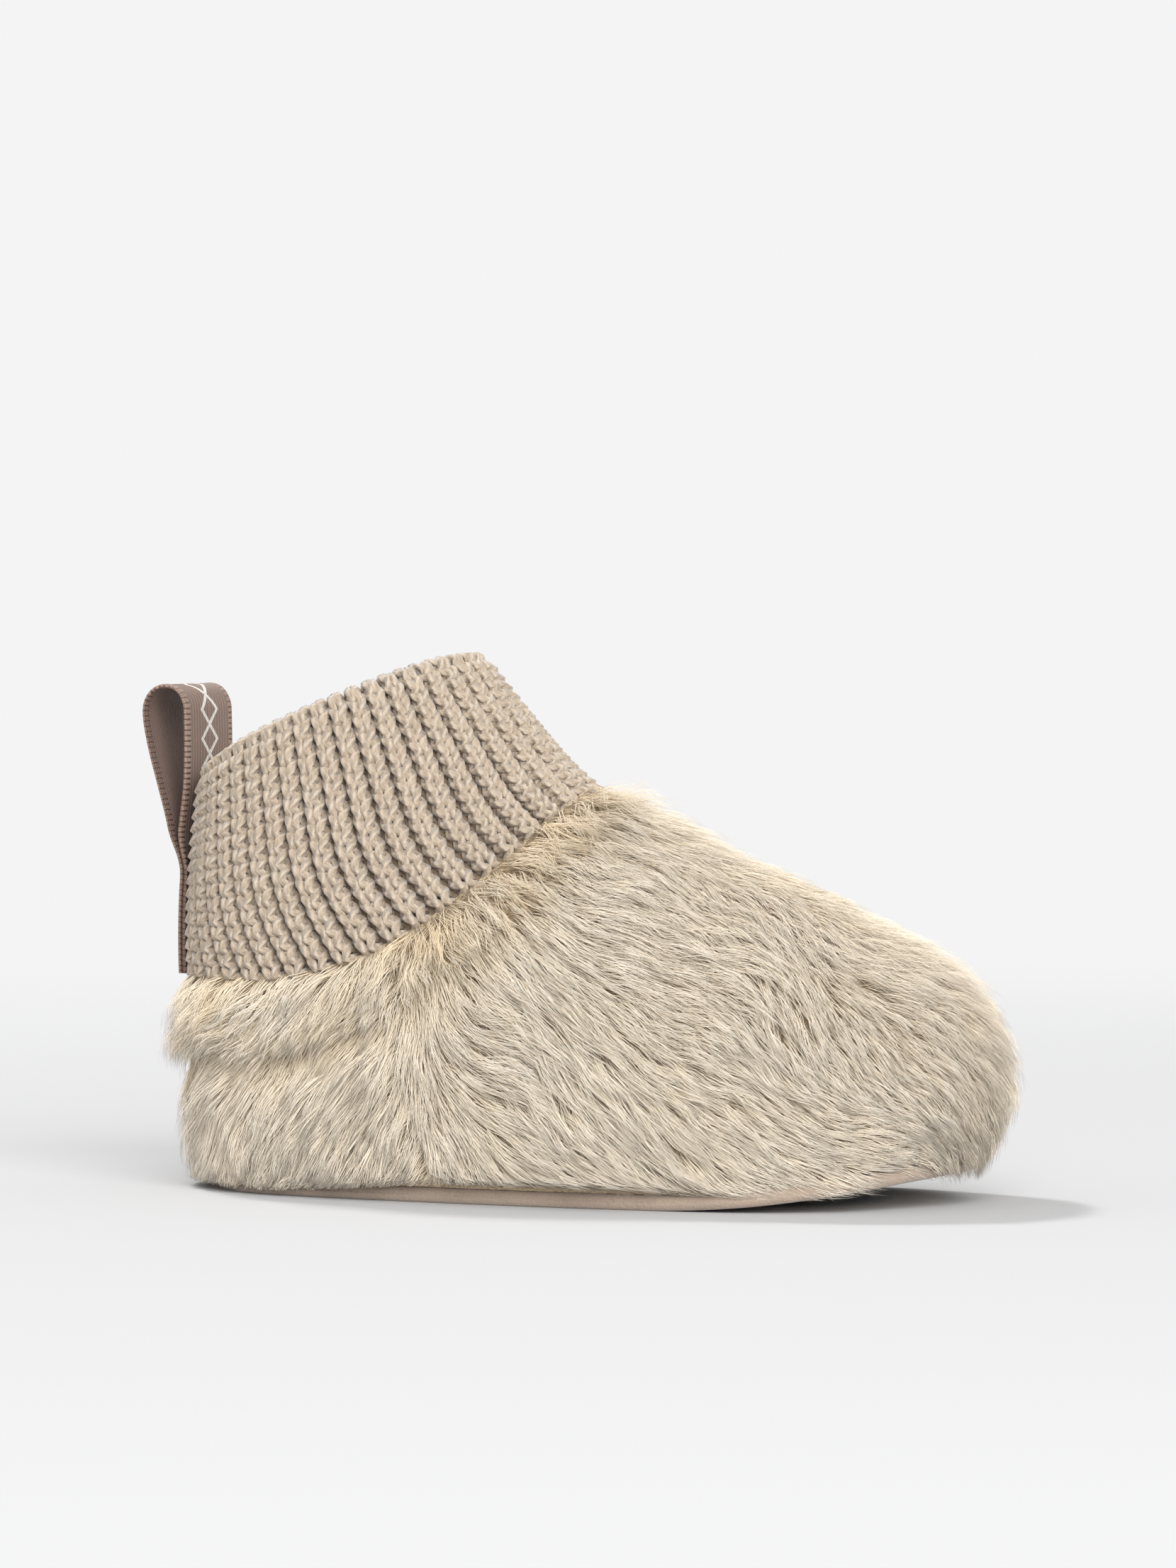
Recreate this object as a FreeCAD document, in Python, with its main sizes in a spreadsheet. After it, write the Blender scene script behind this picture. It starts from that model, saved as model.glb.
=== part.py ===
import FreeCAD, Part
import Sketcher
import math
import os

# A baby bootie: a soft suede sole, a plush fur upper in three panels over wadding and a fleece lining,
# a folded rib-knit cuff and a woven ribbon pull loop at the heel.
#
# Frame: millimetres, +X towards the toe, +Y to the wearer's left, +Z up. The origin is on the sole's flat
# resting face, under the middle of the foot. The bootie is cut straight, so it is symmetric about Y = 0.

V = FreeCAD.Vector
UP = V(0, 0, 1)
ACROSS = V(0, 1, 0)

# Driving dimensions, in millimetres and degrees.
SIZES = {
    # suede sole: an outline of four tangent arcs, flat under the heel and ball, curling up at the toe
    "heel_back": 34.5,  # heel arc's centre behind the origin
    "heel_radius": 22.5,
    "toe_front": 32.0,  # toe arc's centre ahead of the origin
    "toe_radius": 28.0,
    "side_radius": 260.0,
    "spring_start": 20.0,  # where the toe spring begins
    "spring_radius": 165.0,
    "sole_thick": 2.2,
    "foam_thick": 3.0,
    "fleece_thick": 4.0,
    # how far inside the outer skin each layer of the upper lies
    "fur_wall": 4.0,
    "wadding_out": 4.1,
    "wadding_in": 4.9,
    "lining_out": 5.0,
    "lining_in": 7.0,
    "insole_fit": 7.3,
    # the knit cuff is one tube folded double, with a thin slit between its two layers
    "knit_out": 0.2,
    "slit_out": 2.9,
    "slit_in": 3.3,
    "knit_in": 6.0,
    "fold_depth": 3.2,  # the slit stops this far below the rim
    "rim_round": 2.3,
    # topline: the seam between fur and knit, level round the heel and curving up over the instep
    "topline_level": 32.3,
    "topline_bend": 44.0,  # where the curve begins, behind the origin
    "topline_radius": 52.0,
    # rim of the cuff: a plane that rises towards the toe
    "rim_back": 60.3,  # the rim's back edge behind the origin
    "rim_level": 60.0,
    "rim_slope": 23.5,
    # side seam between the vamp and the quarters, leaning forward as it goes down
    "seam_back": 16.0,  # where it meets mid height, behind the origin
    "seam_level": 20.0,
    "seam_lean": 16.0,
    # woven ribbon: two plies sewn down the back of the cuff, then a free loop
    "ribbon_width": 16.0,
    "ribbon_thick": 0.6,
    "ribbon_gap": 0.05,
    "hinge_back": 62.75,  # where the loop leaves the cuff, behind the origin
    "hinge_level": 49.6,
    "loop_back": 64.1,  # centre of the loop's crown
    "loop_level": 70.1,
    "loop_radius": 3.9,
    "tail_clear": 0.15,
    # small parts
    "label_width": 14.0,
    "label_height": 9.0,
    "label_level": 19.0,
    "label_thick": 0.4,
    "label_gap": 0.1,
    "thread_radius": 0.3,
    "stitch_length": 2.6,
    "stitch_pitch": 4.2,
    "bartack_pitch": 2.0,
    "seam_inset": 1.1,  # stitches lie this far inside the sole's edge
    "seam_margin": 2.0,  # rows of stitches stop this far short of a panel's ends
    # working size of the cutting blocks
    "block": 150.0,
}

# The outer skin is lofted through closed rings, from under the sole up to above the rim. Each ring lies in a
# plane that tips towards the toe: back end (x, z), front end (x, z), half width at the heel and at the ball,
# and how round its ends are: 1 for an ellipse, less for a blunter outline.
RINGS = [
    ((-58.5, -3.0), (61.5, -3.0), 25.0, 31.0, 0.7),
    ((-60.0, 5.0), (63.5, 14.0), 26.8, 33.0, 0.72),
    ((-61.0, 14.0), (60.0, 27.0), 27.0, 32.0, 0.78),
    ((-61.5, 22.0), (44.0, 38.5), 26.5, 28.0, 0.85),
    ((-62.0, 29.0), (22.0, 50.0), 26.0, 24.0, 0.92),
    ((-62.2, 37.0), (3.0, 59.0), 25.0, 20.0, 1.0),
    ((-61.7, 48.0), (-8.0, 69.0), 22.5, 18.0, 1.0),
    ((-60.3, 60.0), (-16.7, 79.0), 20.0, 18.0, 1.0),
    ((-59.0, 68.0), (-21.0, 87.0), 19.0, 18.0, 1.0),
]
RING_FIELDS = ("back_x", "back_z", "front_x", "front_z", "heel_half", "ball_half", "roundness")
RING_POINTS = 12

doc = FreeCAD.newDocument("BabyBootie")


def make_sheet():
    """The spreadsheet that holds every driving dimension, one alias a row."""
    cells = dict(SIZES)
    for number, (back, front, *widths) in enumerate(RINGS):
        values = (*back, *front, *widths)
        cells.update({f"ring_{number}_{field}": value for field, value in zip(RING_FIELDS, values)})
    made = doc.addObject("Spreadsheet::Sheet", "Sizes")
    for row, (alias, value) in enumerate(cells.items(), start=1):
        made.set(f"A{row}", alias)
        made.set(f"B{row}", str(value))
        made.setAlias(f"B{row}", alias)
    doc.recompute()
    return made


sheet = make_sheet()


def size(expression):
    """A size worked out from the sheet, such as size("Sizes.block / 2")."""
    return float(sheet.evalExpression(expression))


def bind(thing, **expressions):
    """Binds a feature's properties to the sheet; an underscore pair stands for a dot in the name."""
    for name, expression in expressions.items():
        thing.setExpression(name.replace("__", "."), expression)
    return thing


# ---------------------------------------------------------------- sketches


def origin_plane(body, role):
    """One of a body's own origin planes, such as XY_Plane."""
    return next(feature for feature in body.Origin.OriginFeatures if feature.Role == role)


def new_body(name):
    """An empty body whose label names its file."""
    body = doc.addObject("PartDesign::Body", name)
    body.Label = name
    return body


def new_sketch(body, name, role):
    """A sketch on one of the body's origin planes."""
    sketch = body.newObject("Sketcher::SketchObject", name)
    sketch.AttachmentSupport = [(origin_plane(body, role), "")]
    sketch.MapMode = "FlatFace"
    return sketch


def constrain(sketch, name, expression, kind, *references):
    """A dimension in a sketch, bound to the sheet."""
    sketch.addConstraint(Sketcher.Constraint(kind, *references, size(expression)))
    number = sketch.ConstraintCount - 1
    sketch.renameConstraint(number, name)
    sketch.setExpression(f"Constraints.{name}", expression)


def arc(centre, radius, start, end):
    """A counter-clockwise arc of a circle in a sketch's own plane, angles in radians."""
    return Part.ArcOfCircle(Part.Circle(centre, UP, radius), start, end)


def angle(centre, point):
    """Direction from one point to another, in radians."""
    return math.atan2(point.y - centre.y, point.x - centre.x)


def foot_outline(sketch, inset="0"):
    """Draws the sole's outline: heel arc, toe arc and two side arcs, all tangent, moved in by inset."""
    heel_r = f"Sizes.heel_radius - {inset}"
    toe_r = f"Sizes.toe_radius - {inset}"
    side_r = f"Sizes.side_radius - {inset}"
    heel = V(-size("Sizes.heel_back"), 0, 0)
    toe = V(size("Sizes.toe_front"), 0, 0)
    to_heel, to_toe = size(f"{side_r} - ({heel_r})"), size(f"{side_r} - ({toe_r})")
    apart = toe.x - heel.x
    along = (to_heel**2 - to_toe**2 + apart**2) / (2 * apart)
    side = V(heel.x + along, -math.sqrt(to_heel**2 - along**2), 0)
    mirrored = V(side.x, -side.y, 0)
    from_toe, from_heel = angle(side, toe), angle(side, heel)
    first = sketch.GeometryCount
    heel_arc, top_arc, toe_arc, low_arc = range(first, first + 4)
    sketch.addGeometry(arc(heel, size(heel_r), from_heel, 2 * math.pi - from_heel))
    sketch.addGeometry(arc(side, size(side_r), from_toe, from_heel))
    sketch.addGeometry(arc(toe, size(toe_r), -from_toe, from_toe))
    sketch.addGeometry(arc(mirrored, size(side_r), -from_heel, -from_toe))
    begin, end, centre = 1, 2, 3
    for one, two in ((top_arc, heel_arc), (heel_arc, low_arc), (low_arc, toe_arc), (toe_arc, top_arc)):
        sketch.addConstraint(Sketcher.Constraint("Tangent", one, end, two, begin))
    sketch.addConstraint(Sketcher.Constraint("Equal", top_arc, low_arc))
    for ball in (heel_arc, toe_arc):
        sketch.addConstraint(Sketcher.Constraint("PointOnObject", ball, centre, -1))
    constrain(sketch, "heel_r", heel_r, "Radius", heel_arc)
    constrain(sketch, "toe_r", toe_r, "Radius", toe_arc)
    constrain(sketch, "side_r", side_r, "Radius", top_arc)
    constrain(sketch, "heel_x", "Sizes.heel_back", "DistanceX", heel_arc, centre, -1, 1)
    constrain(sketch, "toe_x", "Sizes.toe_front", "DistanceX", -1, 1, toe_arc, centre)


def rectangle(sketch, half):
    """Draws a square about the sketch's origin, with sides twice half long."""
    edge = size(half)
    corners = [V(-edge, -edge, 0), V(edge, -edge, 0), V(edge, edge, 0), V(-edge, edge, 0)]
    first = sketch.GeometryCount
    for number, corner in enumerate(corners):
        sketch.addGeometry(Part.LineSegment(corner, corners[(number + 1) % 4]))
    begin, end = 1, 2
    for number in range(4):
        after = first + (number + 1) % 4
        sketch.addConstraint(Sketcher.Constraint("Coincident", first + number, end, after, begin))
    for number in (0, 2):
        sketch.addConstraint(Sketcher.Constraint("Horizontal", first + number))
        sketch.addConstraint(Sketcher.Constraint("Vertical", first + number + 1))
    sketch.addConstraint(Sketcher.Constraint("Symmetric", first, begin, first + 1, end, -1, 1))
    constrain(sketch, "square_x", f"2 * {half}", "DistanceX", first, begin, first, end)
    constrain(sketch, "square_y", f"2 * {half}", "DistanceY", first + 1, begin, first + 1, end)


def rocker_profile(sketch):
    """Draws the sole from the side: two flat lines that turn into concentric arcs at the toe."""
    half, thick = size("Sizes.block / 2"), size("Sizes.sole_thick")
    start, radius = size("Sizes.spring_start"), size("Sizes.spring_radius")
    centre = V(start, radius, 0)
    turn = math.asin((half - start) / radius)
    down = -math.pi / 2

    def on(reach, swing):
        return V(centre.x + reach * math.sin(swing), centre.y - reach * math.cos(swing), 0)

    low, high = radius, radius - thick
    sketch.addGeometry(Part.LineSegment(V(-half, 0, 0), on(low, 0)))
    sketch.addGeometry(arc(centre, low, down, down + turn))
    sketch.addGeometry(Part.LineSegment(on(low, turn), on(high, turn)))
    sketch.addGeometry(arc(centre, high, down, down + turn))
    sketch.addGeometry(Part.LineSegment(on(high, 0), V(-half, thick, 0)))
    sketch.addGeometry(Part.LineSegment(V(-half, thick, 0), V(-half, 0, 0)))
    base, low_arc, tip, high_arc, top, back = range(6)
    begin, end, middle = 1, 2, 3
    sketch.addConstraint(Sketcher.Constraint("Tangent", base, end, low_arc, begin))
    sketch.addConstraint(Sketcher.Constraint("Coincident", low_arc, end, tip, begin))
    sketch.addConstraint(Sketcher.Constraint("Coincident", tip, end, high_arc, end))
    sketch.addConstraint(Sketcher.Constraint("Tangent", high_arc, begin, top, begin))
    sketch.addConstraint(Sketcher.Constraint("Coincident", top, end, back, begin))
    sketch.addConstraint(Sketcher.Constraint("Coincident", back, end, base, begin))
    sketch.addConstraint(Sketcher.Constraint("Coincident", low_arc, middle, high_arc, middle))
    sketch.addConstraint(Sketcher.Constraint("PointOnObject", base, begin, -1))
    sketch.addConstraint(Sketcher.Constraint("Horizontal", base))
    sketch.addConstraint(Sketcher.Constraint("Vertical", back))
    sketch.addConstraint(Sketcher.Constraint("PointOnObject", low_arc, middle, tip))
    constrain(sketch, "back", "Sizes.block / 2", "DistanceX", base, begin, -1, 1)
    constrain(sketch, "bend", "Sizes.spring_start", "DistanceX", -1, 1, low_arc, begin)
    constrain(sketch, "radius", "Sizes.spring_radius", "Radius", low_arc)
    constrain(sketch, "thick", "Sizes.sole_thick", "DistanceY", back, end, back, begin)
    constrain(sketch, "front", "Sizes.block / 2", "DistanceX", -1, 1, low_arc, end)


def loop_profile(sketch):
    """Draws the loop from the side: a belt round the crown and the hinge, and the teardrop gap inside it.

    The gap's straight sides meet on the hinge line, because the hinge end's radius is one ply.
    """
    crown = V(-size("Sizes.loop_back"), size("Sizes.loop_level"), 0)
    hinge = V(-size("Sizes.hinge_back"), size("Sizes.hinge_level"), 0)
    reach = hinge - crown
    heading, apart = math.atan2(reach.y, reach.x), reach.Length
    ply, outer = size("Sizes.ribbon_thick"), size("Sizes.loop_radius")
    flank = math.acos((outer - ply) / apart)
    left, right = heading - flank, heading + flank

    def on(centre, radius, turn):
        return centre + V(radius * math.cos(turn), radius * math.sin(turn), 0)

    begin, end, middle = 1, 2, 3
    sketch.addGeometry(arc(crown, outer, right, left))
    sketch.addGeometry(Part.LineSegment(on(crown, outer, left), on(hinge, ply, left)))
    sketch.addGeometry(arc(hinge, ply, left, right))
    sketch.addGeometry(Part.LineSegment(on(hinge, ply, right), on(crown, outer, right)))
    sketch.addGeometry(arc(crown, outer - ply, right, left))
    sketch.addGeometry(Part.LineSegment(on(crown, outer - ply, left), hinge))
    sketch.addGeometry(Part.LineSegment(hinge, on(crown, outer - ply, right)))
    big, back, small, front, gap, gap_back, gap_front = range(7)
    for one, one_end, two, two_end in (
        (big, end, back, begin),
        (back, end, small, begin),
        (small, end, front, begin),
        (front, end, big, begin),
        (gap, end, gap_back, begin),
        (gap_front, end, gap, begin),
    ):
        sketch.addConstraint(Sketcher.Constraint("Tangent", one, one_end, two, two_end))
    sketch.addConstraint(Sketcher.Constraint("Coincident", gap_back, end, gap_front, begin))
    sketch.addConstraint(Sketcher.Constraint("Coincident", gap_back, end, small, middle))
    sketch.addConstraint(Sketcher.Constraint("Coincident", big, middle, gap, middle))
    constrain(sketch, "crown_r", "Sizes.loop_radius", "Radius", big)
    constrain(sketch, "hinge_r", "Sizes.ribbon_thick", "Radius", small)
    constrain(sketch, "gap_r", "Sizes.loop_radius - Sizes.ribbon_thick", "Radius", gap)
    for place, part, across, level in (
        ("crown", big, "Sizes.loop_back", "Sizes.loop_level"),
        ("hinge", small, "Sizes.hinge_back", "Sizes.hinge_level"),
    ):
        constrain(sketch, f"{place}_x", across, "DistanceX", part, middle, -1, 1)
        constrain(sketch, f"{place}_z", level, "DistanceY", -1, 1, part, middle)


# ---------------------------------------------------------------- building blocks


def box(name, low, high):
    """A cutting block between two corners, each given as three expressions."""
    made = doc.addObject("Part::Box", name)
    for axis, side, start, stop in zip("xyz", ("Length", "Width", "Height"), low, high):
        made.setExpression(side, f"({stop}) - ({start})")
        made.setExpression(f"Placement.Base.{axis}", start)
    return made


def roller(name, x, z, radius):
    """A cylinder that lies across the bootie, with its axis through (x, z)."""
    made = doc.addObject("Part::Cylinder", name)
    made.Placement.Rotation = FreeCAD.Rotation(V(1, 0, 0), -90)
    bind(made, Radius=radius, Height="Sizes.block", Placement__Base__x=x, Placement__Base__z=z)
    made.setExpression("Placement.Base.y", "-Sizes.block / 2")
    return made


def tipped_block(name, x, z, slope, ahead):
    """A block that fills everything on one side of a plane through (x, z) that leans by slope degrees.

    ahead: True for the side towards the toe of an upright plane, False for the side under a level plane.
    """
    made = doc.addObject("Part::Box", name)
    for side in ("Length", "Width", "Height"):
        made.setExpression(side, "2 * Sizes.block")
    turn = size(slope)
    shift = V(0, -size("Sizes.block"), -size("Sizes.block" if ahead else "2 * Sizes.block"))
    if not ahead:
        shift.x = -size("Sizes.block")
    made.Placement = FreeCAD.Placement(
        V(size(x), 0, size(z)), FreeCAD.Rotation(ACROSS, turn)
    ) * FreeCAD.Placement(shift, FreeCAD.Rotation())
    return made


def combine(kind, name, base, tool):
    """A boolean of two objects: kind is Cut, Common or Fuse. Its faces stay split where the skin's seam is."""
    made = doc.addObject(f"Part::{kind}", name)
    made.Base, made.Tool = base, tool
    made.Refine = False
    return made


def label(thing, name):
    """Gives a finished piece the label that names its file."""
    thing.Label = name
    return thing


def ring_ends(number):
    """The back and front ends of a ring, read from the sheet."""
    back_x, back_z, front_x, front_z = (size(f"Sizes.ring_{number}_{field}") for field in RING_FIELDS[:4])
    return V(back_x, 0, back_z), V(front_x, 0, front_z)


def ring_wire(number, depth):
    """One closed ring of the upper as a smooth curve, moved in by depth square to the skin."""
    below, above = ring_ends(max(number - 1, 0)), ring_ends(min(number + 1, len(RINGS) - 1))
    back, front = ring_ends(number)
    back += (above[0] - below[0]).cross(ACROSS).normalize() * -depth
    front += (above[1] - below[1]).cross(ACROSS).normalize() * depth
    heel_half, ball_half = (size(f"Sizes.ring_{number}_{field}") - depth for field in RING_FIELDS[4:6])
    roundness = size(f"Sizes.ring_{number}_{RING_FIELDS[6]}")
    points = []
    for step in range(RING_POINTS):
        turn = 2 * math.pi * step / RING_POINTS
        share = (1 + math.cos(turn)) / 2  # 0 at the heel, 1 at the toe
        half = heel_half + (ball_half - heel_half) * share
        across = math.copysign(abs(math.sin(turn)) ** roundness, math.sin(turn))
        points.append(back + (front - back) * share + ACROSS * (half * across))
    curve = Part.BSplineCurve()
    curve.interpolate(Points=points, PeriodicFlag=True, Parameters=list(range(RING_POINTS + 1)))
    return Part.Wire([curve.toShape()])


def skin(name, depth="0"):
    """The upper's smooth outer form as one solid, moved in by depth, lofted through the rings."""
    rings = []
    for number in range(len(RINGS)):
        ring = doc.addObject("Part::Feature", f"{name}_ring_{number}")
        ring.Shape = ring_wire(number, size(depth))
        rings.append(ring)
    made = doc.addObject("Part::Loft", name)
    made.Sections, made.Solid, made.Ruled = rings, True, False
    return made


def panel(name, wall, span):
    """One cut panel of the upper: the stretch of a layer's wall that lies in a span."""
    return label(combine("Common", f"{name}_cut", wall, span), name)


def stitch_row(name, path, pitch="Sizes.stitch_pitch", along=None):
    """A row of stitches down a path, each a short separate length of thread.

    They run along the path, or all the same way where along is given.
    """
    radius, length = size("Sizes.thread_radius"), size("Sizes.stitch_length")
    count = round(path.Length / size(pitch))
    points = path.discretize(Number=2 * count + 1)
    threads = []
    for middle in range(1, 2 * count, 2):
        heading = V(along or points[middle + 1] - points[middle - 1]).normalize()
        threads.append(Part.makeCylinder(radius, length, points[middle] - heading * (length / 2), heading))
    made = doc.addObject("Part::Feature", name)
    made.Shape = Part.makeCompound(threads)
    return label(made, name)


# ---------------------------------------------------------------- cutting blocks

outer_skin = skin("outer_skin")
half_block = "Sizes.block / 2"


def above_rocker(name, lift):
    """Everything above the sole's curve raised by lift: a box behind the bend and a roller ahead of it."""
    back = box(
        f"{name}_box",
        ("-Sizes.block / 2", "-Sizes.block / 2", lift),
        ("Sizes.spring_start", half_block, "Sizes.block"),
    )
    front = roller(
        f"{name}_roller", "Sizes.spring_start", "Sizes.spring_radius", f"Sizes.spring_radius - ({lift})"
    )
    return combine("Fuse", name, back, front)


above_sole = above_rocker("above_sole", "Sizes.sole_thick")
above_foam = above_rocker("above_foam", "Sizes.sole_thick + Sizes.foam_thick")
above_insole = above_rocker("above_insole", "Sizes.sole_thick + Sizes.foam_thick + Sizes.fleece_thick")

above_topline = combine(
    "Fuse",
    "above_topline",
    box(
        "topline_box",
        ("-Sizes.block / 2", "-Sizes.block / 2", "Sizes.topline_level"),
        ("-Sizes.topline_bend", half_block, "Sizes.block"),
    ),
    roller(
        "topline_roller",
        "-Sizes.topline_bend",
        "Sizes.topline_level + Sizes.topline_radius",
        "Sizes.topline_radius",
    ),
)
under_rim = tipped_block("under_rim", "-Sizes.rim_back", "Sizes.rim_level", "-Sizes.rim_slope", ahead=False)
under_fold = tipped_block(
    "under_fold", "-Sizes.rim_back", "Sizes.rim_level - Sizes.fold_depth", "-Sizes.rim_slope", ahead=False
)
ahead_of_seam = tipped_block(
    "ahead_of_seam", "-Sizes.seam_back", "Sizes.seam_level", "-Sizes.seam_lean", ahead=True
)
upper_span = combine("Cut", "upper_span", above_sole, above_topline)
vamp_span = combine("Common", "vamp_span", upper_span, ahead_of_seam)
quarter_span = combine("Cut", "quarter_span", upper_span, ahead_of_seam)
left_side = box("left_side", ("-Sizes.block", "0", "-10"), ("Sizes.block", "Sizes.block", "Sizes.block"))
right_side = box("right_side", ("-Sizes.block", "-Sizes.block", "-10"), ("Sizes.block", "0", "Sizes.block"))

# ---------------------------------------------------------------- suede sole and its padding


def make_outsole():
    """Suede outsole: the rocker profile padded across, then everything outside the outline taken off."""
    body = new_body("outsole")
    profile = new_sketch(body, "outsole_profile", "XZ_Plane")
    rocker_profile(profile)
    pad = body.newObject("PartDesign::Pad", "outsole_pad")
    pad.Profile, pad.SideType = profile, "Symmetric"
    pad.setExpression("Length", "Sizes.block / 2")
    profile.Visibility = False
    doc.recompute()
    outline = new_sketch(body, "outsole_outline", "XY_Plane")
    rectangle(outline, "Sizes.block")
    foot_outline(outline)
    trim = body.newObject("PartDesign::Pocket", "outsole_trim")
    trim.Profile, trim.Type, trim.SideType = outline, "ThroughAll", "Symmetric"
    doc.recompute()
    return body


outsole = make_outsole()
cavity = skin("cavity", "Sizes.insole_fit")
foot_space = combine("Common", "foot_space", cavity, above_sole)
sole_foam = label(combine("Cut", "sole_foam_cut", foot_space, above_foam), "sole_foam")
insole_space = combine("Common", "insole_space", cavity, above_foam)
insole_fleece = label(combine("Cut", "insole_fleece_cut", insole_space, above_insole), "insole_fleece")

# ---------------------------------------------------------------- upper: fur, wadding and lining

fur_inner = skin("fur_inner", "Sizes.fur_wall")
wadding_outer = skin("wadding_outer", "Sizes.wadding_out")
wadding_inner = skin("wadding_inner", "Sizes.wadding_in")
lining_outer = skin("lining_outer", "Sizes.lining_out")
lining_inner = skin("lining_inner", "Sizes.lining_in")

fur = combine("Cut", "fur_wall", outer_skin, fur_inner)
wadding = combine("Cut", "wadding_wall", wadding_outer, wadding_inner)
lining = combine("Cut", "lining_wall", lining_outer, lining_inner)

panel("vamp_fur", fur, vamp_span)
panel("vamp_wadding", wadding, vamp_span)
panel("vamp_lining", lining, vamp_span)
panel("heel_stiffener", wadding, quarter_span)
for side, half in (("left", left_side), ("right", right_side)):
    half_span = combine("Common", f"quarter_span_{side}", quarter_span, half)
    panel(f"quarter_fur_{side}", fur, half_span)
    panel(f"quarter_lining_{side}", lining, half_span)

# ---------------------------------------------------------------- rib-knit cuff, folded double


def make_cuff():
    """The folded tube: a wall cut at the topline and the rim, with a slit between its two layers."""
    outer, inner = skin("knit_outer", "Sizes.knit_out"), skin("knit_inner", "Sizes.knit_in")
    wall = combine("Cut", "knit_wall", outer, inner)
    standing = combine("Common", "knit_standing", wall, above_topline)
    trimmed = combine("Common", "knit_trimmed", standing, under_rim)
    gap = combine(
        "Cut", "slit_wall", skin("slit_outer", "Sizes.slit_out"), skin("slit_inner", "Sizes.slit_in")
    )
    slit = combine("Common", "slit_low", gap, under_fold)
    doc.recompute()
    lean = math.radians(size("Sizes.rim_slope"))
    upward = V(-math.sin(lean), 0, math.cos(lean))
    rim_face = max(trimmed.Shape.Faces, key=lambda face: face.CenterOfMass.dot(upward))
    rounding = size("Sizes.rim_round")
    rim_edges = [
        (number, rounding, rounding)
        for number, edge in enumerate(trimmed.Shape.Edges, start=1)
        if any(edge.isSame(other) for other in rim_face.Edges)
    ]
    rounded = doc.addObject("Part::Fillet", "knit_rounded")
    rounded.Base, rounded.Edges = trimmed, rim_edges
    return label(combine("Cut", "knit_cuff_cut", rounded, slit), "knit_cuff")


knit_cuff = make_cuff()

# ---------------------------------------------------------------- ribbon pull loop


def make_loop():
    """The free loop of ribbon: its side profile padded to the ribbon's width."""
    body = new_body("pull_loop")
    profile = new_sketch(body, "loop_profile", "XZ_Plane")
    loop_profile(profile)
    pad = body.newObject("PartDesign::Pad", "loop_pad")
    pad.Profile, pad.SideType = profile, "Symmetric"
    pad.setExpression("Length", "Sizes.ribbon_width")
    return body


def make_tail():
    """The two plies sewn down the back of the cuff, from the topline to just under the hinge."""
    tail_outer = skin("tail_outer", "-Sizes.ribbon_gap - 2 * Sizes.ribbon_thick")
    tail_inner = skin("tail_inner", "-Sizes.ribbon_gap")
    wall = combine("Cut", "tail_wall", tail_outer, tail_inner)
    span = box(
        "tail_span",
        ("-Sizes.block / 2", "-Sizes.ribbon_width / 2", "Sizes.topline_level + 0.3"),
        (
            "-Sizes.topline_bend",
            "Sizes.ribbon_width / 2",
            "Sizes.hinge_level - Sizes.ribbon_thick - Sizes.tail_clear",
        ),
    )
    return label(combine("Common", "loop_tail_cut", wall, span), "loop_tail")


pull_loop = make_loop()
loop_tail = make_tail()


def make_label():
    """A small blank woven label on the inside of the heel lining."""
    span = box(
        "label_span",
        ("-Sizes.block / 2", "-Sizes.label_width / 2", "Sizes.label_level"),
        ("-Sizes.topline_bend", "Sizes.label_width / 2", "Sizes.label_level + Sizes.label_height"),
    )
    outer = combine("Common", "label_outer_cut", span, skin("label_outer", "Sizes.lining_in + Sizes.label_gap"))
    inner = skin("label_inner", "Sizes.lining_in + Sizes.label_gap + Sizes.label_thick")
    return label(combine("Cut", "inner_label_cut", outer, inner), "inner_label")


inner_label = make_label()
doc.recompute()

# ---------------------------------------------------------------- stitching


def make_sole_stitches():
    """Stitches that join sole and upper, round the top edge of the sole."""
    outline = doc.addObject("Sketcher::SketchObject", "sole_stitch_outline")
    foot_outline(outline, "Sizes.seam_inset")
    doc.recompute()
    start, thick = size("Sizes.spring_start"), size("Sizes.sole_thick")
    radius = size("Sizes.spring_radius")
    corners = []
    for point in outline.Shape.Wires[0].discretize(Number=121):
        ahead = max(0.0, point.x - start)
        corners.append(V(point.x, point.y, radius - math.sqrt((radius - thick) ** 2 - ahead**2)))
    return stitch_row("sole_stitches", Part.makePolygon(corners))


def crossing(layer, surface, keep):
    """The line where a surface cuts a layer's skin, as far as keep allows, as a run of short chords."""
    cut = layer.Shape.section(surface)
    wires = [Part.Wire(edges) for edges in Part.sortEdges(cut.Edges)]
    points = max(wires, key=lambda wire: wire.Length).discretize(Number=600)
    kept = [keep(point) for point in points]
    first = next((n for n in range(len(points)) if kept[n] and not kept[n - 1]), 0)
    around = points[first:] + points[:first]
    return Part.makePolygon([point for point in around if keep(point)])


def topline_height(x):
    """Height of the topline seam above a place along the bootie."""
    level, bend, radius = (size(f"Sizes.topline_{part}") for part in ("level", "bend", "radius"))
    ahead = min(max(0.0, x + bend), radius)
    return level + radius - math.sqrt(radius**2 - ahead**2)


def in_fur(point):
    """True for a point between the sole and the topline, clear of both by the end margin."""
    margin = size("Sizes.seam_margin")
    return size("Sizes.sole_thick") + margin < point.z < topline_height(point.x) - margin


def flat_cut(through, normal):
    """A large flat face through a point."""
    across = size("Sizes.block")
    face = Part.makePlane(across, across, V(0, 0, 0), normal)
    face.translate(through - face.CenterOfMass)
    return face


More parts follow.
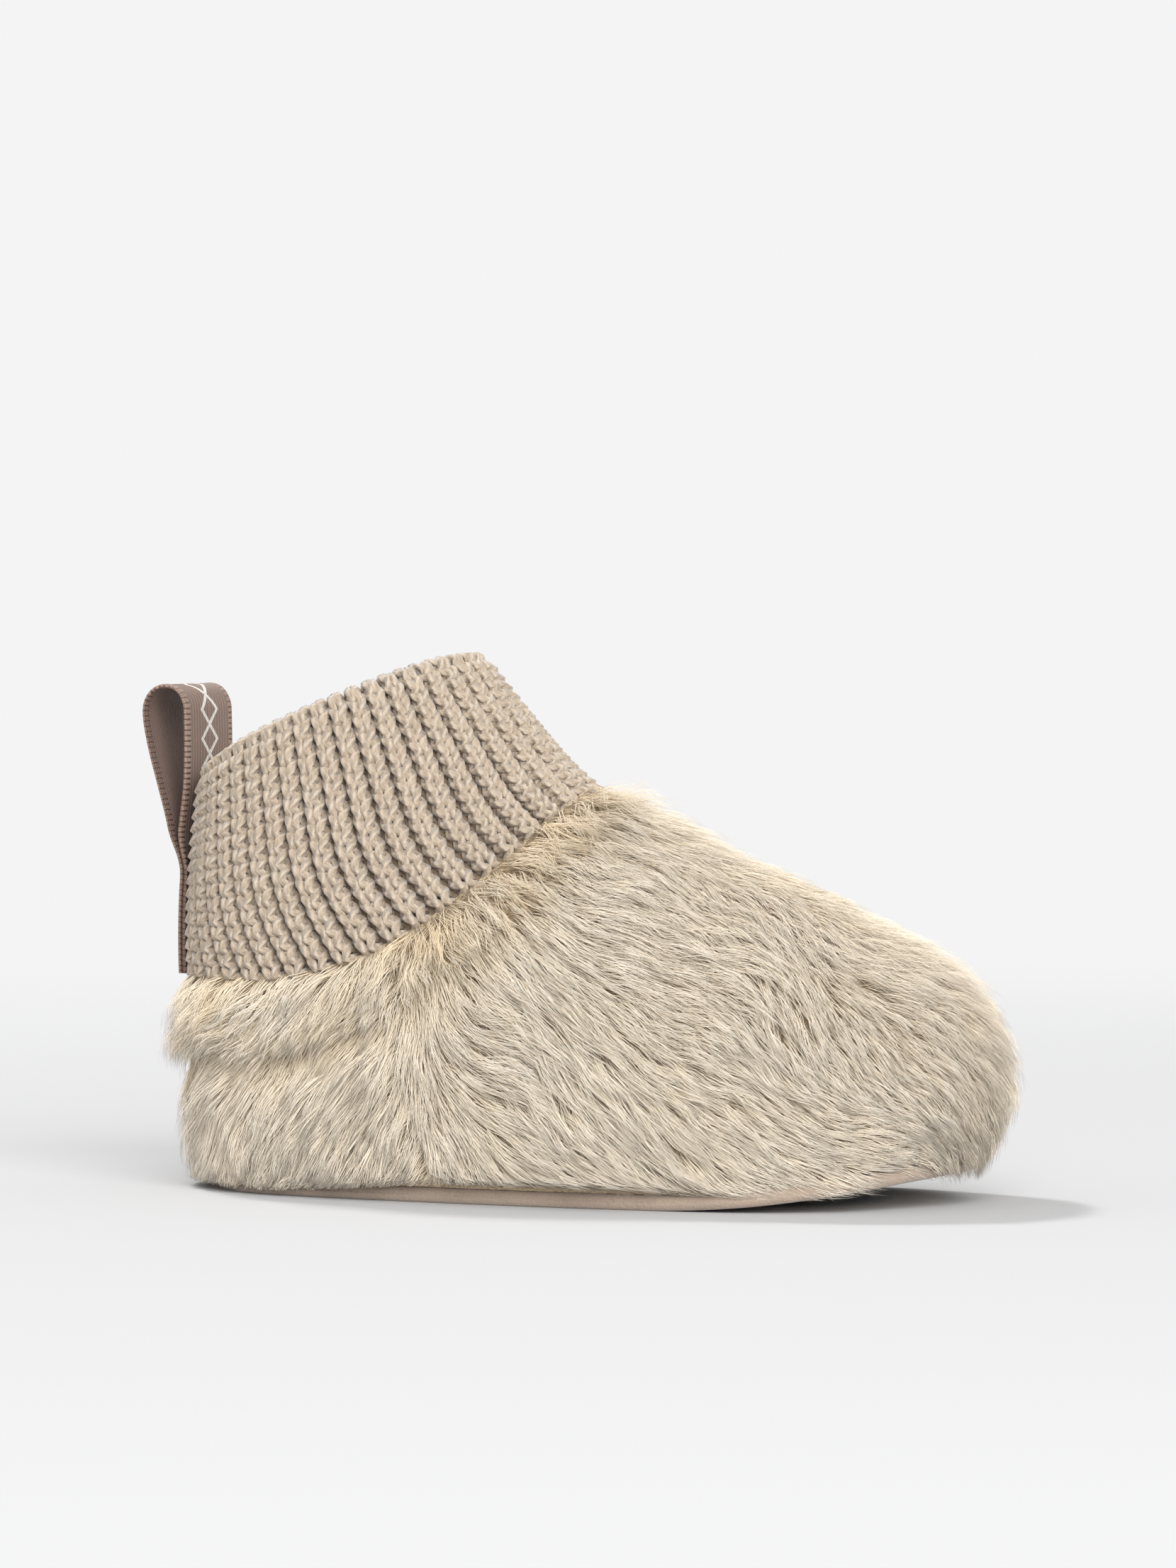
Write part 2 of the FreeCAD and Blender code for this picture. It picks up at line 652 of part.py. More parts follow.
def topline_cut():
    """The curved surface that parts the knit from the fur: level at the heel, then turning up."""
    level, bend, radius = (size(f"Sizes.topline_{part}") for part in ("level", "bend", "radius"))
    half = size("Sizes.block / 2")
    start = V(-half, -half, level)
    low = V(-bend, -half, level)
    halfway = V(-bend + radius * math.sin(math.pi / 4), -half, level + radius * (1 - math.cos(math.pi / 4)))
    end = V(-bend + radius, -half, level + radius)
    edges = [Part.LineSegment(start, low).toShape(), Part.Arc(low, halfway, end).toShape()]
    return Part.Wire(edges).extrude(ACROSS * (2 * half))


seam_depth = skin("seam_depth", "Sizes.fur_wall / 2")
bartack_depth = skin("bartack_depth", "-Sizes.ribbon_gap - Sizes.ribbon_thick")
doc.recompute()

make_sole_stitches()
lean = math.radians(size("Sizes.seam_lean"))
side_seam = flat_cut(V(-size("Sizes.seam_back"), 0, size("Sizes.seam_level")), V(math.cos(lean), 0, math.sin(lean)))
for side, sign in (("left", 1), ("right", -1)):
    stitch_row(
        f"side_stitches_{side}",
        crossing(seam_depth, side_seam, lambda point, sign=sign: point.y * sign > 0 and in_fur(point)),
    )
back_seam = flat_cut(V(-size("Sizes.topline_bend"), 0, size("Sizes.seam_level")), ACROSS)
stitch_row(
    "back_stitches",
    crossing(seam_depth, back_seam, lambda point: point.x < -size("Sizes.topline_bend") and in_fur(point)),
)
stitch_row("topline_stitches", crossing(seam_depth, topline_cut(), lambda point: True))
bartack_line = flat_cut(V(-size("Sizes.hinge_back"), 0, size("Sizes.hinge_level - 3")), UP)
stitch_row(
    "loop_bartack",
    crossing(
        bartack_depth,
        bartack_line,
        lambda point: point.x < -size("Sizes.topline_bend") and abs(point.y) < size("Sizes.ribbon_width / 2 - 1"),
    ),
    pitch="Sizes.bartack_pitch",
    along=UP,
)
doc.recompute()

# ---------------------------------------------------------------- checks and export

MESH_TOLERANCE = 0.05  # as a share of the volume; thread is coarse
NODES = [
    "outsole",
    "sole_foam",
    "insole_fleece",
    "vamp_fur",
    "quarter_fur_left",
    "quarter_fur_right",
    "vamp_wadding",
    "heel_stiffener",
    "vamp_lining",
    "quarter_lining_left",
    "quarter_lining_right",
    "knit_cuff",
    "pull_loop",
    "loop_tail",
    "loop_bartack",
    "inner_label",
    "sole_stitches",
    "side_stitches_left",
    "side_stitches_right",
    "back_stitches",
    "topline_stitches",
]

def mesh_volume(shape):
    """Volume inside a shape's triangles, to compare with the volume inside its faces."""
    points, triangles = shape.tessellate(0.1)
    return sum(points[one].dot(points[two].cross(points[three])) / 6 for one, two, three in triangles)


def export(node):
    """Checks a finished piece and writes its file."""
    shape = doc.getObjectsByLabel(node)[0].Shape
    if shape.isNull() or not shape.isValid() or not shape.Solids:
        raise RuntimeError(f"{node} has no valid solid")
    if abs(mesh_volume(shape) / shape.Volume - 1) > MESH_TOLERANCE:
        raise RuntimeError(f"{node}: its faces are damaged")
    print(f"{node}: {len(shape.Solids)} solids, {shape.Volume:.0f} cubic mm")
    shape.exportStep(f"parts/{node}.step")


for thing in doc.Objects:
    if "Invalid" in thing.State or "Error" in thing.State:
        raise RuntimeError(f"{thing.Name} failed: {thing.State}")

os.makedirs("parts", exist_ok=True)
for node in NODES:
    export(node)
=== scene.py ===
"""A baby bootie: plush fur upper, folded rib-knit cuff, suede sole and a woven ribbon pull loop.

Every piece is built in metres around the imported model's own bodies and nodes. The upper's pieces all follow
one smooth form, the last, so that fur, knit, lining and stitches meet where they are sewn together.
"""

import logging
import math
from collections.abc import Callable, Sequence
from dataclasses import dataclass, field
from enum import Enum
from typing import Union

import bpy
import numpy as np
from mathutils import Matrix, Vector, noise

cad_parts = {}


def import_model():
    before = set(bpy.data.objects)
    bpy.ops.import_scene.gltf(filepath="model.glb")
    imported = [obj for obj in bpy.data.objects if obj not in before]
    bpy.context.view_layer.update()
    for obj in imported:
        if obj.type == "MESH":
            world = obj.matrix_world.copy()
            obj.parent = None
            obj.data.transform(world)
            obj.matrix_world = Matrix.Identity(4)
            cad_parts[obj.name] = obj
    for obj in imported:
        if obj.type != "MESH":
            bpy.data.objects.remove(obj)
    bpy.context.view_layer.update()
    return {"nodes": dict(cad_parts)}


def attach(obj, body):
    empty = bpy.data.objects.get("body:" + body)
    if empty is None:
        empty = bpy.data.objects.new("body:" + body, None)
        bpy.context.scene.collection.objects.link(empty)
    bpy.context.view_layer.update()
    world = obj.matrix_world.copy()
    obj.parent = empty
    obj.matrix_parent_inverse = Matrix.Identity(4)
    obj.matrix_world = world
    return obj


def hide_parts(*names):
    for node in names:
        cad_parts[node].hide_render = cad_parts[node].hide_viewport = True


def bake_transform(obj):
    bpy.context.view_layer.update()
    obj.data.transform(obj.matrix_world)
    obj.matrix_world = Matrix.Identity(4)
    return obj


LOG = logging.getLogger("bootie")
MM = 0.001
Array = np.ndarray
Colour = tuple[float, float, float]
Number = Union[float, "Wire"]
Settings = dict[str, object] | None
Sockets = dict[int | str, object] | None
Object = bpy.types.Object
Finish = bpy.types.Material
TURN = 2 * math.pi


# ---------------------------------------------------------------- node trees as expressions


def operator(operation: str, flipped: bool = False) -> Callable[["Wire", Number], "Wire"]:
    """Makes one of a Wire's operators.

    Args:
        operation: the Math node's operation.
        flipped: whether the Wire comes second.

    Returns:
        A method that adds the node.
    """

    def apply(wire: "Wire", other: Number) -> "Wire":
        """Adds one Math node on the two values."""
        return wire.graph.maths(operation, *((other, wire) if flipped else (wire, other)))

    return apply


@dataclass(frozen=True)
class Wire:
    """An output socket that can be used in a sum, as a number or a vector."""

    graph: "Graph"
    socket: bpy.types.NodeSocket

    __add__, __radd__ = operator("ADD"), operator("ADD", flipped=True)
    __sub__, __rsub__ = operator("SUBTRACT"), operator("SUBTRACT", flipped=True)
    __mul__, __rmul__ = operator("MULTIPLY"), operator("MULTIPLY", flipped=True)
    __truediv__, __pow__ = operator("DIVIDE"), operator("POWER")
    __mod__, __lt__ = operator("FLOORED_MODULO"), operator("LESS_THAN")

    def __neg__(self) -> "Wire":
        """Opposite."""
        return self * -1.0


class Graph:
    """A node tree under construction, for a material or for Geometry Nodes."""

    def __init__(self, tree: bpy.types.NodeTree) -> None:
        """Starts on an empty tree."""
        self.tree = tree
        tree.nodes.clear()

    def add(self, kind: str, settings: Settings = None, sockets: Sockets = None) -> bpy.types.Node:
        """Adds a node.

        Args:
            kind: the node's type name.
            settings: its own properties, set before its sockets.
            sockets: a value or a Wire for each input, by name or place.

        Returns:
            The new node.
        """
        node = self.tree.nodes.new(kind)
        for name, value in (settings or {}).items():
            setattr(node, name, value)
        for key, value in (sockets or {}).items():
            self.feed(node.inputs[key], value)
        return node

    def feed(self, socket: bpy.types.NodeSocket, value: object) -> None:
        """Links a Wire to an input, or sets the input's own value.

        Args:
            socket: the input.
            value: a Wire or a plain value.
        """
        if isinstance(value, Wire):
            self.tree.links.new(value.socket, socket)
        else:
            socket.default_value = value

    def out(
        self, kind: str, settings: Settings = None, sockets: Sockets = None, output: int | str = 0
    ) -> Wire:
        """Adds a node, as add does, and returns one of its outputs."""
        return Wire(self, self.add(kind, settings, sockets).outputs[output])

    def maths(self, operation: str, *values: Number) -> Wire:
        """One Math node on up to three numbers."""
        return self.out("ShaderNodeMath", {"operation": operation}, dict(enumerate(values)))

    def vector(self, operation: str, *values: object) -> Wire:
        """One Vector Math node on up to three vectors, with a vector result."""
        return self.out("ShaderNodeVectorMath", {"operation": operation}, dict(enumerate(values)))

    def scaled(self, vector: Wire, amount: Number) -> Wire:
        """A vector times a number."""
        return self.out("ShaderNodeVectorMath", {"operation": "SCALE"}, {0: vector, "Scale": amount})

    def dot(self, one: Wire, two: Wire) -> Wire:
        """The dot product of two vectors."""
        return self.out("ShaderNodeVectorMath", {"operation": "DOT_PRODUCT"}, {0: one, 1: two}, "Value")

    def combine(self, x: Number, y: Number, z: Number) -> Wire:
        """A vector from three numbers."""
        return self.out("ShaderNodeCombineXYZ", None, {0: x, 1: y, 2: z})

    def separate(self, vector: Wire) -> tuple[Wire, Wire, Wire]:
        """The three numbers of a vector."""
        node = self.add("ShaderNodeSeparateXYZ", None, {0: vector})
        return Wire(self, node.outputs[0]), Wire(self, node.outputs[1]), Wire(self, node.outputs[2])

    def mix(self, share: Number, one: Wire | Colour, two: Wire | Colour) -> Wire:
        """A blend of two colours, which is the second one where the share is 1.

        Args:
            share: how much of the second colour.
            one: the first colour.
            two: the second colour.

        Returns:
            The blended colour.
        """
        one, two = (colour if isinstance(colour, Wire) else (*colour, 1) for colour in (one, two))
        settings = {"data_type": "RGBA", "clamp_factor": True}
        return self.out("ShaderNodeMix", settings, {0: share, 6: one, 7: two}, 2)

    def ramp(
        self, value: Wire, start: float, stop: float, first: float, last: float, smooth: bool = False
    ) -> Wire:
        """A number that goes from first to last while a value goes from start to stop."""
        settings = {"clamp": True, "interpolation_type": "SMOOTHSTEP" if smooth else "LINEAR"}
        return self.out("ShaderNodeMapRange", settings, {0: value, 1: start, 2: stop, 3: first, 4: last})

    def wave(self, value: Wire, length: float, operation: str = "SINE") -> Wire:
        """A sine wave, or another one, of a given length along a value."""
        return self.maths(operation, value * (TURN / length))

    def noise(self, vector: Wire, scale: float, detail: float = 2.0, output: int = 0) -> Wire:
        """A noise pattern at a scale, as a number or, with output 1, as a colour."""
        sockets = {"Vector": vector, "Scale": scale, "Detail": detail, "Roughness": 0.55}
        return self.out("ShaderNodeTexNoise", {"normalize": True}, sockets, output)


class Material(Graph):
    """A material's own tree, with a Principled shader at its end."""

    def __init__(self, name: str) -> None:
        """Makes an empty material.

        Args:
            name: the material's name.
        """
        self.material = bpy.data.materials.new(name)
        self.material.use_nodes = True
        super().__init__(self.material.node_tree)
        self.shader = self.add("ShaderNodeBsdfPrincipled")
        end = self.add("ShaderNodeOutputMaterial")
        self.tree.links.new(self.shader.outputs[0], end.inputs[0])

    def place(self) -> Wire:
        """The point being shaded, in the object's own metres."""
        return self.out("ShaderNodeTexCoord", output="Object")

    def attribute(self, name: str) -> tuple[Wire, Wire, Wire]:
        """The three numbers of a stored attribute."""
        return self.separate(self.out("ShaderNodeAttribute", {"attribute_name": name}, None, "Vector"))

    def bump(self, height: Wire, distance: float) -> None:
        """Feeds the shader's normal from a height."""
        sockets = {"Height": height, "Distance": distance, "Strength": 1.0}
        self.finish(Normal=self.out("ShaderNodeBump", None, sockets))

    def finish(self, **sockets: object) -> Finish:
        """Sets the shader's inputs, whose names have _ for a space, and returns the material.

        Args:
            sockets: values or Wires by input name.

        Returns:
            The material.
        """
        for name, value in sockets.items():
            self.feed(self.shader.inputs[name.replace("_", " ")], value)
        return self.material


class Tree(Graph):
    """A Geometry Nodes tree with named inputs, which ends in Realize Instances and Set Material."""

    KINDS = {float: "NodeSocketFloat", int: "NodeSocketInt"}

    def __init__(self, name: str, **inputs: float | int) -> None:
        """Makes a tree with a geometry input and one input for each named size.

        Args:
            name: the tree's name.
            inputs: the default of each named input.
        """
        super().__init__(bpy.data.node_groups.new(name, "GeometryNodeTree"))
        face = self.tree.interface
        face.new_socket("Geometry", in_out="OUTPUT", socket_type="NodeSocketGeometry")
        face.new_socket("Geometry", in_out="INPUT", socket_type="NodeSocketGeometry")
        for label, value in inputs.items():
            made = face.new_socket(label, in_out="INPUT", socket_type=self.KINDS[type(value)])
            made.default_value = value
        face.new_socket("material", in_out="INPUT", socket_type="NodeSocketMaterial")
        self.source = self.add("NodeGroupInput")

    def given(self, name: str) -> Wire:
        """One of the tree's own inputs."""
        return Wire(self, self.source.outputs[name])

    def named(self, name: str, kind: str = "FLOAT_VECTOR") -> Wire:
        """A stored attribute as a field."""
        return self.out("GeometryNodeInputNamedAttribute", {"data_type": kind}, {0: name})

    def store(self, geometry: Wire, name: str, value: Wire, kind: str = "FLOAT_VECTOR") -> Wire:
        """Stores a field for each point of the geometry under a name."""
        sockets = {"Geometry": geometry, "Name": name, "Value": value}
        return self.out("GeometryNodeStoreNamedAttribute", {"data_type": kind}, sockets)

    def end(self, geometry: Wire, forget: Sequence[str] = ()) -> None:
        """Realizes, drops working attributes, sets the material and closes the tree.

        Args:
            geometry: the result so far.
            forget: names of attributes to drop.
        """
        done = self.out("GeometryNodeRealizeInstances", None, {0: geometry})
        for name in forget:
            done = self.out("GeometryNodeRemoveAttribute", None, {"Geometry": done, "Name": name})
        sockets = {"Geometry": done, "Material": self.given("material")}
        done = self.out("GeometryNodeSetMaterial", None, sockets)
        self.add("NodeGroupOutput", None, {0: done})

    def grow(self, piece: Object, material: Finish, **inputs: float | int) -> Object:
        """Runs the tree on a piece and leaves its plain result as the piece's mesh.

        Args:
            piece: an object whose mesh is the tree's input.
            material: the finish of what the tree makes.
            inputs: values for the tree's named inputs.

        Returns:
            The same piece, with its new mesh and no modifier.
        """
        modifier = piece.modifiers.new(self.tree.name, "NODES")
        modifier.node_group = self.tree
        items = self.tree.interface.items_tree
        ids = {item.name: item.identifier for item in items if item.in_out == "INPUT"}
        modifier[ids["material"]] = material
        for name, value in inputs.items():
            modifier[ids[name]] = value
        piece.update_tag()
        graph = bpy.context.evaluated_depsgraph_get()
        mesh = bpy.data.meshes.new_from_object(piece.evaluated_get(graph))
        piece.modifiers.clear()
        seed_mesh = piece.data
        piece.data = mesh
        bpy.data.meshes.remove(seed_mesh)
        mesh.name = piece.name
        return piece


# ---------------------------------------------------------------- the last


@dataclass(frozen=True)
class Ring:
    """One closed ring of the last, in millimetres: ends (x, z), half widths, and how round its ends are."""

    back: tuple[float, float]
    front: tuple[float, float]
    heel_half: float
    ball_half: float
    roundness: float


class Cut(Enum):
    """The panels that each layer of the upper is cut into, with how their names start and end."""

    VAMP = ("vamp", "")
    LEFT = ("quarter", "_left")
    RIGHT = ("quarter", "_right")

    def called(self, layer: str) -> str:
        """The name of a layer's part of this panel."""
        start, end = self.value
        return f"{start}_{layer}{end}"

    @property
    def first(self) -> float:
        """The share across the panel where it starts; it ends at 1."""
        return -1.0 if self is Cut.VAMP else 0.0


@dataclass
class Last:
    """The smooth form that the upper follows.

    A place on it is a turn round the foot (0 at the toe, growing to the left), a level (the rings' own
    numbers) and a depth in from the fur's middle, in millimetres.
    """

    rings: tuple[Ring, ...] = (
        Ring((-58.5, -3.0), (61.5, -3.0), 25.0, 31.0, 0.7),
        Ring((-60.0, 5.0), (63.5, 14.0), 26.8, 33.0, 0.72),
        Ring((-61.0, 14.0), (60.0, 27.0), 27.0, 32.0, 0.78),
        Ring((-61.5, 22.0), (44.0, 38.5), 26.5, 28.0, 0.85),
        Ring((-62.0, 29.0), (22.0, 50.0), 26.0, 24.0, 0.92),
        Ring((-62.2, 37.0), (3.0, 59.0), 25.0, 20.0, 1.0),
        Ring((-61.7, 48.0), (-8.0, 69.0), 22.5, 18.0, 1.0),
        Ring((-60.3, 60.0), (-16.7, 79.0), 20.0, 18.0, 1.0),
        Ring((-59.0, 68.0), (-21.0, 87.0), 19.0, 18.0, 1.0),
    )
    phases: int = 12
    sole_thick: float = 2.2
    spring_start: float = 20.0
    spring_radius: float = 165.0
    topline_level: float = 32.3
    topline_bend: float = 44.0
    topline_radius: float = 52.0
    rim_back: float = 60.3
    rim_level: float = 60.0
    rim_slope: float = 23.5
    seam_back: float = 16.0
    seam_level: float = 20.0
    seam_lean: float = 16.0
    base: Array = field(init=False, repr=False)
    inward: Array = field(init=False, repr=False)

    def __post_init__(self) -> None:
        """Fits the surface through the rings, and finds the lines where panels end."""
        self.base = self.fit(self.ring_points(0.0))
        self.inward = self.fit(self.ring_points(1.0)) - self.base
        self.turns = np.linspace(-math.pi, math.pi, 361)
        self.sole_line = self.level_where(self.turns, self.above_sole)
        self.topline = self.level_where(self.turns, self.above_topline)
        self.rim_line = self.level_where(self.turns, self.above_rim)
        self.rises = np.linspace(0.0, 1.0, 41)
        self.seam_turns = self.find_seam()

    def ring_points(self, depth: float) -> Array:
        """The rings' own points, moved in by a depth.

        Args:
            depth: how far in, in millimetres.

        Returns:
            An array of rings by phases by xyz.
        """
        rows = []
        last = len(self.rings) - 1
        for number, ring in enumerate(self.rings):
            below, above = self.rings[max(number - 1, 0)], self.rings[min(number + 1, last)]
            back_run, front_run = (
                np.subtract(high, low) / math.dist(high, low)
                for high, low in ((above.back, below.back), (above.front, below.front))
            )
            back = np.add(ring.back, np.array([back_run[1], -back_run[0]]) * depth)
            front = np.add(ring.front, np.array([-front_run[1], front_run[0]]) * depth)
            turn = TURN * np.arange(self.phases) / self.phases
            share = (1 + np.cos(turn)) / 2
            half = ring.heel_half - depth + (ring.ball_half - ring.heel_half) * share
            across = np.sign(np.sin(turn)) * np.abs(np.sin(turn)) ** ring.roundness
            across[np.abs(np.sin(turn)) < 1e-9] = 0.0
            x = back[0] + (front[0] - back[0]) * share
            z = back[1] + (front[1] - back[1]) * share
            rows.append(np.stack([x, half * across, z], axis=1))
        return np.array(rows)

    def fit(self, points: Array) -> Array:
        """Control points of the cubic surface through the rings, with one extra row at each end.

        Args:
            points: rings by phases by xyz.

        Returns:
            Control points, with two more rows than rings.
        """
        count, phases = points.shape[:2]
        around = np.zeros((phases, phases))
        for n in range(phases):
            around[n, (n - 1) % phases], around[n, n], around[n, (n + 1) % phases] = 1 / 6, 4 / 6, 1 / 6
        up = np.zeros((count + 2, count + 2))
        for n in range(count):
            up[n + 1, n : n + 3] = 1 / 6, 4 / 6, 1 / 6
        up[0, :3] = 1, -2, 1
        up[-1, -3:] = 1, -2, 1
        padded = np.zeros((count + 2, phases, 3))
        padded[1:-1] = np.linalg.solve(around, points.transpose(1, 0, 2).reshape(phases, -1)).reshape(
            phases, count, 3
        ).transpose(1, 0, 2)
        return np.linalg.solve(up, padded.reshape(count + 2, -1)).reshape(count + 2, phases, 3)

    @staticmethod
    def weights(part: Array) -> tuple[Array, Array, Array, Array]:
        """The four weights of a uniform cubic at a fraction of a span.

        Args:
            part: the fraction.

        Returns:
            One array for each of four control points.
        """
        rest = 1 - part
        return (
            rest**3 / 6,
            (3 * part**3 - 6 * part**2 + 4) / 6,
            (3 * rest**3 - 6 * rest**2 + 4) / 6,
            part**3 / 6,
        )

    def points(self, turn: Array, level: Array, depth: Array | float = 0.0) -> Array:
        """Places on the form, in millimetres.

        Args:
            turn: turns round the foot, in radians.
            level: ring levels, of the same shape.
            depth: how far in, as one number or an array of the same shape.

        Returns:
            An array of the same shape with a last axis of xyz.
        """
        turn, level, depth = np.broadcast_arrays(np.asarray(turn, float), level, depth)
        step = turn / TURN * self.phases
        first = np.floor(step).astype(int)
        row = np.clip(np.floor(level).astype(int), 0, len(self.rings) - 2)
        around, up = self.weights(step - first), self.weights(level - row)
        total = np.zeros((*turn.shape, 3))
        for i in range(4):
            for j in range(4):
                column = (first - 1 + i) % self.phases
                spot = self.base[row + j, column] + self.inward[row + j, column] * depth[..., None]
                total += spot * (around[i] * up[j])[..., None]
        return total

    def normals(self, turn: Array, level: Array, depth: Array | float = 0.0) -> Array:
        """Outward unit normals at places on the form.

        Args:
            turn: turns round the foot.
            level: ring levels.
            depth: how far in, in millimetres.

        Returns:
            Unit vectors.
        """
        step = 1e-3
        round_run = self.points(turn + step, level, depth) - self.points(turn - step, level, depth)
        up_run = self.points(turn, level + step, depth) - self.points(turn, level - step, depth)
        return unit(np.cross(round_run, up_run))

    def sole_top(self, x: Array) -> Array:
        """Height of the outsole's upper face along the bootie."""
        ahead = np.maximum(0.0, x - self.spring_start)
        return self.spring_radius - np.sqrt((self.spring_radius - self.sole_thick) ** 2 - ahead**2)

    def above_sole(self, spot: Array) -> Array:
        """Height above the outsole's upper face."""
        return spot[..., 2] - self.sole_top(spot[..., 0])

    def above_topline(self, spot: Array) -> Array:
        """Height above the seam between fur and knit.

        Args:
            spot: places, as xyz.

        Returns:
            Heights in millimetres.
        """
        ahead = np.clip(spot[..., 0] + self.topline_bend, 0.0, self.topline_radius)
        rise = self.topline_radius - np.sqrt(self.topline_radius**2 - ahead**2)
        return spot[..., 2] - self.topline_level - rise

    def above_rim(self, spot: Array) -> Array:
        """Height above the plane of the cuff's rim."""
        rise = math.tan(math.radians(self.rim_slope)) * (spot[..., 0] + self.rim_back)
        return spot[..., 2] - self.rim_level - rise

    def ahead_of_seam(self, spot: Array) -> Array:
        """How far ahead of the side seams a place is.

        Args:
            spot: places, as xyz.

        Returns:
            Distances in millimetres.
        """
        lean = math.radians(self.seam_lean)
        ahead, above = spot[..., 0] + self.seam_back, spot[..., 2] - self.seam_level
        return ahead * math.cos(lean) + above * math.sin(lean)

    def level_where(self, turn: Array, height: Callable[[Array], Array], depth: float = 0.0) -> Array:
        """The level at which a height crosses zero, for each turn."""
        return halve(turn, len(self.rings) - 1.0, lambda level: height(self.points(turn, level, depth)) < 0)

    def on_back(self, y: Array, z: Array, depth: Array | float) -> Array:
        """Places on the heel's side of the form with a given y and z, found by Newton's method.

        Args:
            y: places across.
            z: heights.
            depth: how far in, in millimetres.

        Returns:
            Places, as xyz.
        """
        turn, level = np.full_like(z, math.pi), np.interp(z, (0.0, 22.0, 37.0, 60.0), (0.3, 3.0, 5.0, 7.0))
        step = 1e-3
        for _ in range(8):
            spot = self.points(turn, level, depth)
            by_turn = (self.points(turn + step, level, depth) - spot) / step
            by_level = (self.points(turn, level + step, depth) - spot) / step
            solid = by_turn[..., 1] * by_level[..., 2] - by_turn[..., 2] * by_level[..., 1]
            dy, dz = y - spot[..., 1], z - spot[..., 2]
            turn = turn + (dy * by_level[..., 2] - dz * by_level[..., 1]) / solid
            level = level + (by_turn[..., 1] * dz - by_turn[..., 2] * dy) / solid
        return self.points(turn, level, depth)

    def find_seam(self) -> Array:
        """The turn of the left side seam at each share of the fur's height.

        Returns:
            Turns in radians.
        """

        def is_ahead(turn: Array) -> Array:
            """Whether the places at these turns are ahead of the seam."""
            return self.ahead_of_seam(self.points(turn, self.fur_level(turn, self.rises))) > 0

        return halve(self.rises, math.pi, is_ahead)

    def fur_level(self, turn: Array, rise: Array) -> Array:
        """The level at a share of the way from the sole's top to the topline.

        Args:
            turn: turns round the foot.
            rise: shares of the fur's height.

        Returns:
            Levels.
        """
        folded = (np.asarray(turn) + math.pi) % TURN - math.pi
        low = np.interp(folded, self.turns, self.sole_line)
        return low + (np.interp(folded, self.turns, self.topline) - low) * rise

    def panel_turn(self, cut: Cut, across: Array, rise: Array) -> Array:
        """The turn at a share across a panel, from -1 to 1 on the vamp and 0 to 1 back from a side seam.

        Args:
            cut: the panel.
            across: shares across it.
            rise: shares of the fur's height.

        Returns:
            Turns in radians.
        """
        seam = np.interp(rise, self.rises, self.seam_turns)
        if cut is Cut.VAMP:
            return seam * across
        side = 1 if cut is Cut.LEFT else -1
        return side * (seam + (math.pi - seam) * across)

    def panel_grid(
        self, cut: Cut, ends: tuple[float, float], columns: int, rows: int, bottom: float = 0.0
    ) -> tuple[Array, Array]:
        """A grid over a panel, or over a part of it, whose faces look outwards.

        Args:
            cut: the panel.
            ends: the shares across it where the grid starts and ends.
            columns: points across.
            rows: points up.
            bottom: the share of the fur's height where the grid starts.

        Returns:
            Turns and levels, each an array of columns by rows.
        """
        across, rise = np.meshgrid(np.linspace(*ends, columns), np.linspace(bottom, 1.0, rows), indexing="ij")
        turn = self.panel_turn(cut, across[::-1] if cut is Cut.RIGHT else across, rise)
        return turn, self.fur_level(turn, rise)


# ---------------------------------------------------------------- numbers and meshes


def unit(vectors: Array) -> Array:
    """Vectors scaled to length 1."""
    return vectors / np.maximum(np.linalg.norm(vectors, axis=-1, keepdims=True), 1e-9)


def run_along(line: Array) -> Array:
    """The length along a line of points, up to each of them."""
    return np.concatenate([[0.0], np.cumsum(np.linalg.norm(np.diff(line, axis=0), axis=1))])


def ease(share: Array) -> Array:
    """A share from 0 to 1, made to start and end level."""
    return share * share * (3 - 2 * share)


def part(value: Array, start: float, stop: float) -> Array:
    """The share of the way from start to stop that a value has come, from 0 to 1."""
    return np.clip((value - start) / (stop - start), 0, 1)


def halve(like: Array, top: float, test: Callable[[Array], Array]) -> Array:
    """Where a test that holds at 0 and fails at top changes, found by halving, for each place of an array.

    Args:
        like: an array of the shape wanted.
        top: the highest number tried.
        test: whether each of an array of numbers is still too low.

    Returns:
        The numbers found.
    """
    low, high = np.zeros_like(like), np.full_like(like, top)
    for _ in range(30):
        middle = (low + high) / 2
        holds = test(middle)
        low, high = np.where(holds, middle, low), np.where(holds, high, middle)
    return (low + high) / 2


def waves(spots: Array, size: float, seed: float) -> Array:
    """A smooth random number from -1 to 1 for each place, with a grain of the given size.

    Args:
        spots: places, as xyz.
        size: the grain.
        seed: which waves.

    Returns:
        Numbers from -1 to 1.
    """
    shift = Vector((seed, seed * 0.7, -seed))
    flat = spots.reshape(-1, 3)
    return np.array([noise.noise(Vector(spot) / size + shift) for spot in flat]).reshape(spots.shape[:-1])


def new_piece(name: str, vertices: Array, faces: Sequence[Sequence[int]], scale: float = MM) -> Object:
    """Makes a smooth-shaded mesh object from vertices, in millimetres unless the scale says otherwise.

    Args:
        name: the piece's name.
        vertices: places, as xyz.
        faces: vertex numbers of each face.
        scale: metres to a unit of the vertices.

    Returns:
        The new piece, in the scene.
    """
    mesh = bpy.data.meshes.new(name)
    mesh.from_pydata((np.asarray(vertices) * scale).tolist(), [], [list(map(int, face)) for face in faces])
    mesh.update()
    mesh.polygons.foreach_set("use_smooth", [True] * len(mesh.polygons))
    piece = bpy.data.objects.new(name, mesh)
    bpy.context.scene.collection.objects.link(piece)
    return piece


